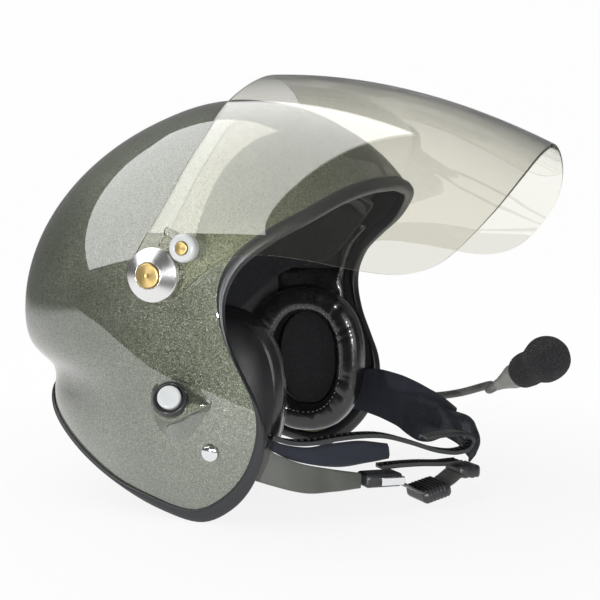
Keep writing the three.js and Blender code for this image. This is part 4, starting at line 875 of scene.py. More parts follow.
FLOOR_NEAR = 0.28  # how far the floor comes towards the camera, just outside its view
FLOOR_HALF, FLOOR_FAR, FLOOR_BEND, FLOOR_TOP = 6.0, 3.0, 1.2, 5.0
KEY_PLACE = (-0.0895, 0.7304, 0.9193)  # middle of the large soft panel over the helmet
KEY_NORMAL = (-0.4577, 0.1137, 0.8818)  # its face looks the other way, down to the helmet
KEY_SIDE = (-0.8675, 0.1601, -0.4709)
KEY_SIZE = (2.075, 1.318)
SMALL_LAMPS = (  # name, place, width, share of the second light's power
    ("flash_light", (-1.05, -0.56, 0.05), 0.12, 0.9), ("glint_light", (-1.3, 0.0, -0.085), 0.03, 1.1),
    ("front_light", (-0.9, -1.3, 0.25), 0.9, 0.6),
)
WORLD_LIGHT, WORLD_GLOSS = 0.055, 0.04  # what lights the helmet, and what it mirrors


def floor_finish():
    """White floor that glows for the camera and through the visor, and near the helmet also in reflections, which
    paints a bright floor reflection on the helmet's lower side; it keeps the helmet's shadow.
    """
    f = Finish("floor_white")
    f.base(base_color=f.cloudy(f.noise(3, 2), (0.93, 0.93, 0.93), (0.95, 0.95, 0.95)), roughness=0.9)
    path, seen = f.straight_view()
    far = f.vector("LENGTH", f.at).outputs["Value"]
    near = f.ramp(far, (0.3, 1.0), (0.7, 0.05))
    # Near the helmet the floor glows in mirrored rays too: painted light, seen as a bright reflection on the shell's
    # lower side.
    seen = f.math("MAXIMUM", seen, f.math("MULTIPLY", path["Is Glossy Ray"], near))
    f.blend(f.math("MULTIPLY", seen, f.ramp(far, (0.14, 0.86), (0.45, 0.985))),
            f.add("ShaderNodeEmission", (1, 1, 1, 1), 1.0))
    return f.mat


def hang_lamp(name, place, size, power):
    """Hangs a soft lamp that looks at the helmet."""
    data = bpy.data.lights.new(name, "AREA")
    data.shape = "DISK" if size[0] == size[1] else "RECTANGLE"
    data.size, data.size_y = size
    data.energy = power
    lamp = bpy.data.objects.new(name, data)
    bpy.context.scene.collection.objects.link(lamp)
    lamp.location = place
    lamp.rotation_euler = (Vector((0, 0, 0)) - Vector(place)).to_track_quat("-Z", "Y").to_euler()
    return lamp


class HELMET_OT_stage(PieceMaker):
    """Lays the pale floor and backdrop and hangs the soft lights"""
    bl_idname = "helmet.stage"
    bl_label = "Stage"

    def make(self, context):
        s = context.scene.helmet_stage
        row = [(-FLOOR_NEAR, 0.0)]
        for k in range(15):
            a = k / 14 * math.pi / 2
            row.append((FLOOR_FAR + FLOOR_BEND * math.sin(a), FLOOR_BEND - FLOOR_BEND * math.cos(a)))
        row.append((FLOOR_FAR + FLOOR_BEND, FLOOR_TOP))
        turn = Matrix.Rotation(math.radians(-71.0), 4, "Z")
        verts = [turn @ Vector((x, y, z)) + Vector((0, 0, s.floor)) for x in (-FLOOR_HALF, FLOOR_HALF) for y, z in row]
        n = len(row)
        mesh = bpy.data.meshes.new("floor")
        mesh.from_pydata(verts, [], [(k, k + 1, n + k + 1, n + k) for k in range(n - 1)])
        mesh.polygons.foreach_set("use_smooth", [True] * len(mesh.polygons))
        mesh.materials.append(floor_finish())
        floor = bpy.data.objects.new("floor", mesh)
        context.scene.collection.objects.link(floor)

        world = bpy.data.worlds.new("studio")
        context.scene.world = world
        world.use_nodes = True
        w = Nodes(world.node_tree)
        path, seen = w.straight_view()
        share = w.math("MAXIMUM", seen, w.math("MULTIPLY", path["Is Glossy Ray"], WORLD_GLOSS))
        light = w.add("ShaderNodeMix", share, None, WORLD_LIGHT, 1.0, data_type="FLOAT")
        back = w.tree.nodes["Background"]
        w.put(back.inputs[0], (1, 1, 1, 1))
        w.put(back.inputs[1], light.outputs[0])

        panel = hang_lamp("key_light", KEY_PLACE, KEY_SIZE, s.key)
        away, along = Vector(KEY_NORMAL), Vector(KEY_SIDE)
        panel.rotation_euler = Matrix((along, away.cross(along), away)).transposed().to_euler()
        for name, place, wide, share in SMALL_LAMPS:
            hang_lamp(name, place, (wide, wide), s.fill * share)
        context.scene.view_settings.view_transform = "Standard"


def boss_top(radius, tail, count=120):
    """Outline of the switch boss's top: round behind and drawn to a point ahead."""
    open_at = math.acos(radius / tail)
    out = []
    for i in range(count):
        a = 2 * math.pi * i / count
        a = a if a <= math.pi else a - 2 * math.pi
        if abs(a) >= open_at:
            out.append((math.cos(a) * radius, math.sin(a) * radius))
        else:
            t = abs(a) / open_at
            out.append((tail + (math.cos(open_at) * radius - tail) * t,
                        math.copysign(math.sin(open_at) * radius * t, a)))
    return out


def boss_foot(seat, forward, side, top):
    """Where the boss runs out on the shell, a place for each one of its top."""
    line = spline(across_middle(BOSS_FOOT + BOSS_FOOT[:1]), 160)[:-1]
    line[:, 0] = -shell_places(line[:, 1], line[:, 2], 0.0012)
    away = line - np.array(seat)
    turns = np.arctan2(away @ np.array(side), away @ np.array(forward))
    order = np.argsort(turns)
    turns, line = turns[order], line[order]
    turns = np.concatenate([turns[-3:] - 2 * math.pi, turns, turns[:3] + 2 * math.pi])
    line = np.vstack([line[-3:], line, line[:3]])
    return [v3([np.interp(math.atan2(b, a), turns, line[:, k]) for k in range(3)]) for a, b in top]


class HELMET_OT_shell(PieceMaker):
    """Builds the painted shell with its moulded switch boss"""
    bl_idname = "helmet.shell"
    bl_label = "Shell"

    def make(self, context):
        s = sizes()
        h = context.scene.helmet_hardware
        shares = np.concatenate([np.linspace(0, 1, 66)[1:-1] * 0.985, [0.985, 1.0]])
        verts, faces, kinds = dome_mesh(rim_directions(RIM, s.around), shares, 0.0, s.wall)
        seat = shell_point(*SWITCH_PLACE)
        forward = (Vector((0, -1, 0)) + SWITCH_AXIS * SWITCH_AXIS.y).normalized()
        side = SWITCH_AXIS.cross(forward)
        crest = seat + SWITCH_AXIS * h.boss_height
        top = boss_top(h.boss_radius, h.boss_tail)
        foot = boss_foot(seat, forward, side, top)
        n, steps, start = len(top), 16, len(verts)
        verts.extend(crest + (forward * a + side * b) * 0.96 for a, b in top)
        for k in range(steps + 1):
            t = k / steps
            for (a, b), low in zip(top, foot):
                high = seat + SWITCH_AXIS * (h.boss_height - 0.0005) + forward * a + side * b
                drop = low - high
                down = SWITCH_AXIS * drop.dot(SWITCH_AXIS)
                verts.append(high + down * t ** 0.85 + (drop - down) * t ** 1.3)
            for i in range(n):
                a, b = start + k * n + i, start + k * n + (i + 1) % n
                faces.append((a, b, b + n, a + n))
        bore, ring = h.ring_radius * 0.74, len(verts)
        verts.extend(crest + forward * c * bore + side * d * bore for c, d in circle(n))
        for i in range(n):
            j = (i + 1) % n
            faces.append((start + j, start + i, ring + i, ring + j))
        kinds += [0] * (len(faces) - len(kinds))
        obj = new_piece("shell_skin", verts, faces, [finish("shell_paint"), finish("shell_inside")],
                        stands_for=["shell"])
        obj.data.polygons.foreach_set("material_index", kinds[:len(obj.data.polygons)])
        crease(obj, 50)


class HELMET_OT_trim(PieceMaker):
    """Presses the rubber trim over the shell's edge"""
    bl_idname = "helmet.trim"
    bl_label = "Edge trim"

    def make(self, context):
        s = sizes()
        rim = rim_directions(RIM, s.around)
        pole = np.broadcast_to(POLE, rim.shape)
        reach = shell_radius(rim) * np.arccos(np.clip(rim @ POLE, -1, 1))
        leg, wall, shell, gap = s.trim_leg, s.trim_wall, s.wall, 0.0006
        middle = shell / 2
        tip = leg - 0.0002
        profile = [(leg, -gap), (tip, -gap - wall * 0.45), (leg * 0.86, -gap - wall * 0.85), (leg * 0.5, -gap - wall)]
        for k in range(9):
            a = math.pi * k / 8
            profile.append((-(gap + wall) * math.sin(a), middle - math.cos(a) * (middle + gap + wall)))
        profile += [(leg * 0.5, shell + gap + wall), (leg * 0.86, shell + gap + wall * 0.85),
                    (tip, shell + gap + wall * 0.45), (leg, shell + gap),
                    (leg * 0.4, shell + gap * 0.6), (-gap * 0.5, shell + gap * 0.5), (-gap * 0.5, -gap * 0.5),
                    (leg * 0.4, -gap * 0.6)]
        back_leg = 1 - 0.82 * ease((rim[:, 1] * shell_radius(rim) - 0.015) / 0.035)  # lower behind, on the outside
        rows = []
        for rise, depth in profile:
            risen = rise * (back_leg if depth < 0 and rise > 0 else 1.0)
            d = between(rim, pole, risen / reach)
            rows.append(d * (shell_radius(d) - depth)[:, None])
        grid_piece("trim_channel", list(zip(*rows)), "edge_rubber", 60, closed=True, stands_for=["edge_trim"])


class HELMET_OT_liner(PieceMaker):
    """Fits the foam liner, the cloth lining and the brow and nape pads"""
    bl_idname = "helmet.liner"
    bl_label = "Liner and pads"

    def make(self, context):
        soft = context.scene.helmet_soft
        gap = SOFT_GAP
        out = sizes().wall + gap
        shares = np.linspace(0, 1, 34)[1:]
        verts, faces, _ = dome_mesh(rim_directions(LINER_RIM, 70), shares, out, out + soft.liner)
        crease(new_piece("liner_form", verts, faces, finish("liner_foam"), stands_for=["foam_liner"]), 50)
        top = out + soft.liner + gap

        def quilt(d, t):
            """Inset of the lining's inner face: padded squares, thin at the seams and the rim."""
            turn = np.arctan2(d[:, 0], -d[:, 1])
            rib = np.abs(np.sin(turn * 3.5))
            band = np.abs(np.sin(np.asarray(t) * math.pi * 2.0))
            crown = np.clip(rib, 0, 1) ** 0.35 * np.clip(band + 0.12, 0, 1) ** 0.35
            edge = ease((1.0 - np.asarray(t)) / 0.05)
            return top + soft.lining * (0.35 + 0.6 * crown * edge)

        shares = np.concatenate([np.linspace(0, 0.97, 60)[1:], [0.985, 1.0]])
        verts, faces, _ = dome_mesh(rim_directions(LINING_RIM, 90), shares, top, quilt)
        lining = new_piece("lining_quilt", verts, faces, finish("lining_fabric"), stands_for=["comfort_lining"])
        base = top + soft.lining + gap
        self.pad("brow_cushion", "brow_pad", -1, 46, (38, 50), base, 0.007)
        self.pad("nape_cushion", "nape_pad", 1, 40, (-14, 8), base, 0.008)

    def pad(self, name, node, ahead, half_turn, heights, base, thickness):
        """Crowned cushion with two seams, inside the lining at the front (-1) or the back (1)."""
        low, high = map(math.radians, heights)
        half_turn = math.radians(half_turn)
        rows, columns = 26, 60
        places = [(r, c) for r in range(rows + 1) for c in range(columns + 1)]
        spots = []
        for r, c in places:
            share = -1 + 2 * c / columns
            turn = share * half_turn
            rise = low + (high - low) * (0.04 + 0.92 * r / rows) - 0.2 * share * share
            spots.append([math.sin(turn) * math.cos(rise), ahead * math.cos(turn) * math.cos(rise), math.sin(rise)])
        spots = np.array(spots)
        outer, inner = [], []
        for (r, c), d, radius in zip(places, spots, shell_radius(spots)):
            u, w = 2 * r / rows - 1, 2 * c / columns - 1
            crown = max(0.0, (1 - abs(u) ** 3.2) * (1 - abs(w) ** 7)) ** 0.5
            seam = min(abs(w - k) for k in (-0.34, 0.34))
            crown *= 1 - 0.42 * math.exp(-(seam / 0.022) ** 2)
            outer.append(d * (radius - base))
            inner.append(d * (radius - base - thickness * (0.14 + 0.84 * crown)))
        n, k = columns + 1, len(outer)
        faces = []
        for a in (r * n + c for r in range(rows) for c in range(columns)):
            faces += [(a, a + 1, a + n + 1, a + n), (k + a, k + a + n, k + a + n + 1, k + a + 1)]
        for a in range(columns):
            b = rows * n + a
            faces += [(a, k + a, k + a + 1, a + 1), (b, b + 1, k + b + 1, k + b)]
        for a in range(0, rows * n, n):
            b = a + columns
            faces += [(a, a + n, k + a + n, k + a), (b, k + b, k + b + n, b + n)]
        obj = new_piece(name, outer + inner, faces, finish("lining_fabric"), stands_for=[node])
        face_outward(obj)


def oval(angle, half_length, half_height):
    c, s = math.cos(angle), math.sin(angle)
    k = 2 / 2.3
    return math.copysign(abs(c) ** k, c) * half_length, math.copysign(abs(s) ** k, s) * half_height


def ear_ring(x, half_length, half_height, count):
    """Oval ring of points round the ear at one place across the helmet."""
    q = bpy.context.scene.helmet_soft
    spots = [oval(2 * math.pi * i / count, half_length, half_height) for i in range(count)]
    return [(x, q.ear_y + y, q.ear_z + z) for y, z in spots]


class HELMET_OT_ear_cups(PieceMaker):
    """Builds both ear cups, their stitched seals and their foam discs"""
    bl_idname = "helmet.ear_cups"
    bl_label = "Ear cups"

    def make(self, context):
        q = context.scene.helmet_soft
        for word, side in SIDES:
            self.seal(q, word, side)
            self.stitches(q, word, side)
            self.disc_and_cup(q, word, side)

    def seal(self, q, word, side):
        """Leather ring with random folds, a seam round its outside and a stitched inner edge."""
        rng = random.Random(11 if side < 0 else 23)
        folds = [(rng.uniform(0, 2 * math.pi), rng.uniform(0.03, 0.07), rng.uniform(0.3, 1.0)) for _ in range(26)]
        rows, n = [], 220
        for i in range(n):
            a = 2 * math.pi * i / n
            fold = sum(k * math.exp(-((math.remainder(a - at, 2 * math.pi)) / w) ** 2) for at, w, k in folds)
            row = []
            for c, s in circle(40):
                across = math.copysign(abs(c) ** 0.72, c)
                behind = math.copysign(abs(s) ** 0.8, s)
                front = -behind
                swell = 1.0 - 0.045 * fold * max(0.0, front + 0.2)
                reach = across * q.seal_ring / 2 * (0.97 if front > -0.5 else 0.93) * swell
                depth = behind * q.seal_depth / 2 * 0.985 * swell
                if across > 0:
                    reach -= 0.0009 * math.exp(-((front - 0.18) / 0.10) ** 2)
                elif across < 0:
                    reach += 0.0010 * math.exp(-((front + 0.1) / 0.09) ** 2)
                y, z = oval(a, q.seal_length - q.seal_ring / 2 + reach, q.seal_height - q.seal_ring / 2 + reach)
                row.append((side * (q.seal_face + q.seal_depth / 2 + depth), q.ear_y + y, q.ear_z + z))
            rows.append(row)
        seal = grid_piece("seal_ring_" + word, rows, "seal_leather", closed=True, stands_for=["ear_seal_" + word])

    def stitches(self, q, word, side):
        """Short threads that bow out of the seal's inner edge."""
        run = q.seal_ring / 2 * 0.53

        def spot(b):
            y, z = oval(b, q.seal_length - q.seal_ring / 2 - run, q.seal_height - q.seal_ring / 2 - run)
            return Vector((side * (q.seal_face + 0.0009), q.ear_y + y, q.ear_z + z))

        verts, faces, count = [], [], 58
        out = Vector((-side, 0, 0))
        for i in range(count):
            a = 2 * math.pi * (i + 0.5) / count
            middle = spot(a)
            t = (spot(a + 0.01) - spot(a - 0.01)).normalized()
            w = t.cross(out)
            base = len(verts)
            for k in range(7):
                u = -1 + 2 * k / 6
                bow = 1 - u * u
                r = 0.00034 * math.sqrt(max(0.0, bow)) + 0.00002
                verts += [middle + t * (u * 0.0009) + w * (c * r) + out * (d * r + 0.0002 * bow) for c, d in circle(8)]
            for k in range(base, base + 48, 8):
                faces += [(k + b, k + (b + 1) % 8, k + (b + 1) % 8 + 8, k + b + 8) for b in range(8)]
            faces += [tuple(range(base, base + 8))[::-1], tuple(range(base + 48, base + 56))]
        thread = new_piece("seal_stitches_" + word, verts, faces, finish("seam_thread"), slot="seal_leather")
        face_outward(thread)

    def disc_and_cup(self, q, word, side):
        """Domed foam disc inside the seal, and the hollow dish behind both."""
        gap, depth = HARD_GAP, 0.005
        back = q.seal_face + q.seal_depth + gap
        half_length, half_height = q.seal_length - q.seal_ring + gap, q.seal_height - q.seal_ring + gap
        x0 = back - depth - gap
        rows = []
        for t in (0.02, 0.15, 0.3, 0.45, 0.6, 0.75, 0.86, 0.93, 0.97, 0.99, 1.0):
            dome = 0.0012 * (1 - t ** 3)
            drop = depth * 0.35 * ease((t - 0.9) / 0.1)
            rows.append(ear_ring(side * (x0 + 0.0012 - dome + drop), half_length * t, half_height * t, 96))
        for x, t in ((x0 + depth * 0.7, 1.0), (x0 + depth, 0.985), (x0 + depth, 0.5), (x0 + depth, 0.02)):
            rows.append(ear_ring(side * x, half_length * t, half_height * t, 96))
        disc = grid_piece("ear_disc_" + word, rows, "foam_fabric", stands_for=["ear_foam_" + word])

        half_length, half_height = q.seal_length * 0.93, q.seal_height * 0.93
        outer = [(0, 0.985), (0.03, 1.0), (0.35, 0.985), (0.55, 0.94), (0.7, 0.87), (0.83, 0.775), (0.92, 0.67),
                 (0.975, 0.56), (1.0, 0.44), (1.0, 0.2), (1.0, 0.02)]
        inner = [(0.86, 0.02), (0.86, 0.36), (0.78, 0.6), (0.6, 0.8), (0.35, 0.92), (0.0, 0.93)]
        rows = [ear_ring(side * (back + t * q.cup_depth), half_length * k, half_height * k, 110)
                for t, k in inner + outer]
        grid_piece("cup_dish_" + word, rows, "cup_plastic", 50, stands_for=["ear_cup_" + word])


class HELMET_OT_cheek_panels(PieceMaker):
    """Pads the leather cheek panels beside the ear cups"""
    bl_idname = "helmet.cheek_panels"
    bl_label = "Cheek panels"

    def make(self, context):
        s = sizes()
        thick, step = 0.007, 0.0022
        corners = [np.array(c) * s.half_width for c in CHEEK]
        line = []
        for a, b in zip(corners, corners[1:] + corners[:1]):
            n = max(1, round(np.linalg.norm(b - a) / 0.0016))
            line += [a + (b - a) * k / n for k in range(n)]
        line = np.array(line)
        for _ in range(4):
            line = (np.roll(line, 1, 0) + 2 * line + np.roll(line, -1, 0)) / 4
        low, high = line.min(0), line.max(0)

        def from_line(places):
            return np.hypot(*(places[:, None] - line[None]).transpose(2, 0, 1)).min(1)

        spots = np.array([(y, z) for z in np.arange(low[1], high[1], step) for y in np.arange(low[0], high[0], step)])
        spots = spots[inside_outline(spots, line) & (from_line(spots) > step * 0.55)]
        flat = [Vector(p) for p in np.vstack([line, spots])]
        edges = [(i, (i + 1) % len(line)) for i in range(len(line))]
        points, _, tris, *_ = delaunay_2d_cdt(flat, edges, [], 1, 1e-7)
        at = np.array([tuple(p) for p in points])
        away = from_line(at)
        crown = np.sqrt(np.clip(1 - (1 - np.clip(away / 0.008, 0, 1)) ** 2.2, 0, 1))
        crown *= 1 - 0.3 * np.exp(-((away - 0.0062) / 0.0007) ** 2)
        out = s.wall + SOFT_GAP
        outer = shell_places(at[:, 0], at[:, 1], out)
        inner = shell_places(at[:, 0], at[:, 1], out + thick * (0.26 + 0.74 * crown))
        for word, side in SIDES:
            skins = [[(side * x, y, z) for x, (y, z) in zip(skin, at)] for skin in (outer, inner)]
            verts, faces = two_skins(*skins, [tuple(t) for t in tris])
            panel = new_piece("cheek_cushion_" + word, verts, faces, finish("seal_leather"),
                              stands_for=["cheek_panel_" + word])
            face_outward(panel)


def visor_arch(v):
    """Height over the flat arms and half width of the sheet, v ahead of the pivots."""
    s = bpy.context.scene.helmet_visor
    rise = s.crown_height + 0.0471 * v - 0.29 * s.reach * max(v / s.reach, 0) ** 2 - s.arm_flat
    width = s.half_width - 0.038 * max(v - s.arm_straight, 0)
    return rise, width


def visor_turn(v, h):
    """Turn round the arch, up from the arm, of the place v ahead of the pivots and h over them."""
    s = bpy.context.scene.helmet_visor
    if h <= s.arm_flat:
        return (h - s.arm_flat) / ARM_SPAN
    share = (h - s.arm_flat) / visor_arch(v)[0]
    return math.asin(min(1.0, share ** (VISOR_POWER / 2))) if share < 1 else 2.0


def visor_outline():
    """Outline of the whole sheet laid flat, as turns and places ahead of the pivots."""
    s = bpy.context.scene.helmet_visor
    rear = spline([(y * s.reach, z * s.reach) for y, z in VISOR_REAR], 60)
    front = spline([(y * s.reach, z * s.reach) for y, z in VISOR_FRONT], 150)
    lobe = [(math.cos(math.radians(a)) * s.lobe, math.sin(math.radians(a)) * s.lobe)
            for a in np.linspace(-135, 0, 30)]
    half = [(visor_turn(-y, h), -y) for y, h in [*lobe, *rear[1:], *front[:-1]]]
    top = math.pi / 2
    loop = []
    for (t0, v0), (t1, v1) in zip(half, half[1:] + half[:1]):
        if t0 < top:
            loop.append((t0, v0))
        if (t0 < top) != (t1 < top):
            loop.append((top, v0 + (v1 - v0) * ((top - t0) / (t1 - t0))))
    k = next(i for i, p in enumerate(loop) if p[0] >= top - 1e-9)
    first = loop[k]
    second = next(p for p in loop[k + 1:] if p[0] >= top - 1e-9)
    ring = [second] + loop[loop.index(second) + 1:] + loop[:k] + [first]
    full = ring + [(math.pi - t, v) for t, v in ring[1:-1][::-1]]
    out = []
    for (t0, v0), (t1, v1) in zip(full, full[1:] + full[:1]):
        n = max(1, int(round(math.hypot((t1 - t0) * SHEET_SPAN, v1 - v0) / 0.0022)))
        out += [(t0 + (t1 - t0) * i / n, v0 + (v1 - v0) * i / n) for i in range(n)]
    return out


def visor_holes():
    """Outlines of both pivot holes and both arc slots in the flat sheet."""
    s = bpy.context.scene.helmet_visor
    hw = bpy.context.scene.helmet_hardware
    radius = hw.bolt_radius + hw.gap
    margin = math.degrees(math.asin((hw.stud_radius + hw.gap) / s.track))
    low, high = 180 - LOCK_ANGLE - SLOT_DOWN - margin, 180 - LOCK_ANGLE + SLOT_UP + margin
    slot = []
    for way, start, end in ((1, low, high), (-1, high, low)):
        slot += [(s.track + way * s.slot_half, math.radians(start + (end - start) * i / 32)) for i in range(33)]
        for i in range(1, 8):
            b = math.pi * i / 8
            slot.append((s.track + way * s.slot_half * math.cos(b),
                         math.radians(end) + way * s.slot_half * 0.55 * math.sin(b) / s.track))
    cuts = [[(-c * radius, d * radius) for c, d in circle(28)], [(-math.cos(a) * r, math.sin(a) * r) for r, a in slot]]
    right = [[(visor_turn(v, h), v) for v, h in cut] for cut in cuts]
    return right + [[(math.pi - t, v) for t, v in cut] for cut in right]


def visor_place(p, inset):
    """Where a point of the flat sheet lies once the sheet is bent."""
    s = bpy.context.scene.helmet_visor
    t, v = p.x / SHEET_SPAN, p.y
    rise, width = (size - inset for size in visor_arch(v))
    if 0 <= t <= math.pi:
        c = math.cos(t)
        x = math.copysign(abs(c) ** (2 / VISOR_POWER), c) * width
        h = s.arm_flat + abs(math.sin(t)) ** (2 / VISOR_POWER) * rise
    else:
        x = width if t < 0 else -width
        h = s.arm_flat + min(t, math.pi - t) * ARM_SPAN
    return Vector((x, s.pivot_y - v, s.pivot_z + h))


class HELMET_OT_visor(PieceMaker):
    """Bends the clear visor sheet and cuts its pivot holes and arc slots"""
    bl_idname = "helmet.visor"
    bl_label = "Visor"

    def make(self, context):
        full, holes = visor_outline(), visor_holes()

        def in_sheet(points):
            hit = inside_outline(points, full)
            for hole in holes:
                hit &= ~inside_outline(points, hole)
            return hit

        flat, edges = [], []
        for loop in [full, *holes]:
            k, n = len(flat), len(loop)
            flat += [(t * SHEET_SPAN, v) for t, v in loop]
            edges += [(k + i, k + (i + 1) % n) for i in range(n)]
        line = np.array(flat)
        (t_low, v_low), v_high = np.min(full, 0), np.max(full, 0)[1]
        t_step, v_step = 0.034, 0.0042
        spots = []
        for row, t in enumerate(np.arange(t_low, math.pi - t_low, t_step)):
            shift = 0.5 * v_step if row % 2 else 0.0
            spots += [(t, v) for v in np.arange(v_low + shift, v_high, v_step)]
        spots = np.array(spots)
        away = np.min(np.hypot(line[None, :, 0] - spots[:, None, 0] * SHEET_SPAN,
                               line[None, :, 1] - spots[:, None, 1]), axis=1)
        flat += [(t * SHEET_SPAN, v) for t, v in spots[(away > 0.0014) & in_sheet(spots)]]
        points, _, tris, *_ = delaunay_2d_cdt([Vector(p) for p in flat], edges, [], 0, 1e-7)
        middles = [sum((points[i] for i in tri), Vector((0, 0))) / 3 for tri in tris]
        held = in_sheet([(c.x / SHEET_SPAN, c.y) for c in middles])
        tris = [tri for tri, ok in zip(tris, held) if ok]
        used = sorted({i for tri in tris for i in tri})
        index = {k: i for i, k in enumerate(used)}
        skins = [[visor_place(points[k], inset) for k in used] for inset in (0.0, context.scene.helmet_visor.wall)]
        verts, faces = two_skins(*skins, [tuple(index[i] for i in tri) for tri in tris])
        obj = new_piece("visor_sheet_clear", verts, faces, [finish("visor_clear"), finish("visor_edge")],
                        body="visor_sheet", stands_for=["visor"])
        kinds = [0] * (2 * len(tris)) + [1] * (len(faces) - 2 * len(tris))
        obj.data.polygons.foreach_set("material_index", kinds[:len(obj.data.polygons)])
        face_outward(obj)
        crease(obj, 45)


def dress(node, look):
    """Gives a solid that stays as it is its finish."""
    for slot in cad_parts[node].material_slots:
        slot.material = finish(look)


class HELMET_OT_knobs(PieceMaker):
    """Turns the pivot knobs, the lock knobs and their brass caps"""
    bl_idname = "helmet.knobs"
    bl_label = "Knobs"

    def make(self, context):
        h = context.scene.helmet_hardware
        v = context.scene.helmet_visor
        angle = math.radians(LOCK_ANGLE)
        lock_y = v.pivot_y - v.track * math.cos(angle)
        lock_z = v.pivot_z + v.track * math.sin(angle)
        deep = h.cap_depth
        for word, side in SIDES:
            axis = Vector((side, 0, 0))
            x = side * (v.half_width + h.gap)
            place = Vector((x, v.pivot_y, v.pivot_z))
            r, d, bore, seat = h.knob_radius, h.knob_depth, h.bolt_radius + h.gap, h.cap_radius + h.gap
            profile = rounded_profile([
                (bore, 0), (r * 0.985, 0), (r, 0.0003), (r, d * 0.3), (r * 0.975, d * 0.38), (seat + 0.0006, d * 0.98),
                (seat, d - 0.0003), (seat, d - deep), (bore, d - deep), (bore, 0)], 0.0004)
            turned_piece("pivot_knob_cone_" + word, profile, place, axis, "knob_aluminium",
                         body="pivot_grip_" + word, sides=128, stands_for=["pivot_knob_" + word])
            cap = rounded_profile([
                (0, 0), (h.cap_radius, 0), (h.cap_radius, deep * 0.9), (h.cap_radius * 0.93, deep * 1.12),
                (0.0012, deep * 1.18), (0, deep * 1.05)], 0.0003)
            turned_piece("pivot_cap_disc_" + word, cap, place + axis * (d - deep + h.gap), axis, "cap_brass",
                         body="pivot_grip_" + word, sides=96, stands_for=["pivot_cap_" + word])
            place = Vector((x, lock_y, lock_z))
            r, d, bore, seat = h.lock_radius, h.lock_depth, h.stud_radius + h.gap, h.lock_cap + h.gap
            profile = rounded_profile([
                (bore, 0), (r * 0.92, 0), (r, d * 0.15), (r, d * 0.8), (r * 0.86, d), (seat, d),
                (seat, d - deep), (bore, d - deep), (bore, 0)], 0.0006)
            turned_piece("lock_knob_body_" + word, profile, place, axis, "lock_white",
                         body="lock_grip_" + word, sides=96, stands_for=["lock_knob_" + word])
            cap = rounded_profile([
                (0, 0), (h.lock_cap, 0), (h.lock_cap, deep * 0.9), (h.lock_cap * 0.9, deep * 1.08), (0, deep * 1.1)],
                0.0003)
            turned_piece("lock_cap_disc_" + word, cap, place + axis * (d - deep + h.gap), axis, "cap_brass",
                         body="lock_grip_" + word, stands_for=["lock_cap_" + word])
            dress("pivot_bush_" + word, "hardware_plastic")
            dress("pivot_bolt_" + word, "bolt_steel")
            dress("lock_stud_" + word, "bolt_steel")


class HELMET_OT_switch(PieceMaker):
    """Fits the push-to-talk switch: ring and button"""
    bl_idname = "helmet.switch"
    bl_label = "Switch"

    def make(self, context):
        h = context.scene.helmet_hardware
        base = shell_point(*SWITCH_PLACE) + SWITCH_AXIS * (h.boss_height + h.gap)
        bore, r, d = 0.007, h.ring_radius, h.ring_height
        ring = rounded_profile([
            (bore, 0), (r, 0), (r, d * 0.72), (r * 0.93, d), (bore + 0.0006, d), (bore, d - 0.0006), (bore, 0)], 0.0006)
        turned_piece("switch_collar", ring, base, SWITCH_AXIS, "hardware_plastic", sides=96,
                     stands_for=["switch_ring"])
        top = d + 0.002 + h.gap * 2
        r = h.button_radius
        cap = rounded_profile([
            (0, top - 0.009), (r, top - 0.009), (r, top - 0.0011), (r * 0.86, top - 0.0001),
            (0.0015, top - 0.0003), (0, top - 0.0004)], 0.0009, 6)
        turned_piece("talk_button_cap", cap, base, SWITCH_AXIS, "lock_white", body="talk_button", sides=96,
                     stands_for=["switch_button"])
        dress("switch_body", "cup_plastic")


class HELMET_OT_rivets(PieceMaker):
    """Sets the two domed strap rivets and dresses the plain inner parts"""
    bl_idname = "helmet.rivets"
    bl_label = "Rivets"

    def make(self, context):
        h = context.scene.helmet_hardware
        web = context.scene.helmet_strap.web
        length_ = sizes().wall + web / 2 + RIVET_SINK + web / 2 + 0.0012 + h.gap * 6.5
        for word, side in SIDES:
            seat = shell_point(*RIVET, side=side)
            normal = shell_normal(seat)
            base = seat + normal * (h.gap * 2 - length_)
            r, d = h.rivet_radius, h.rivet_dome
            profile = [(0, 0), (0.002, 0), (0.002, length_), (r, length_), (r, length_ + 0.0003)]
            for k in range(1, 9):
                a = math.pi / 2 * k / 8
                profile.append((r * math.cos(a), length_ + 0.0003 + (d - 0.0003) * math.sin(a)))
            profile[-1] = (0, length_ + d)
            turned_piece("rivet_dome_" + word, profile, base, normal, "rivet_chrome",
                         stands_for=["strap_rivet_" + word])
            dress("rivet_washer_" + word, "bolt_steel")
            dress("speaker_" + word, "cup_plastic")
            dress("cup_mount_" + word, "cup_plastic")


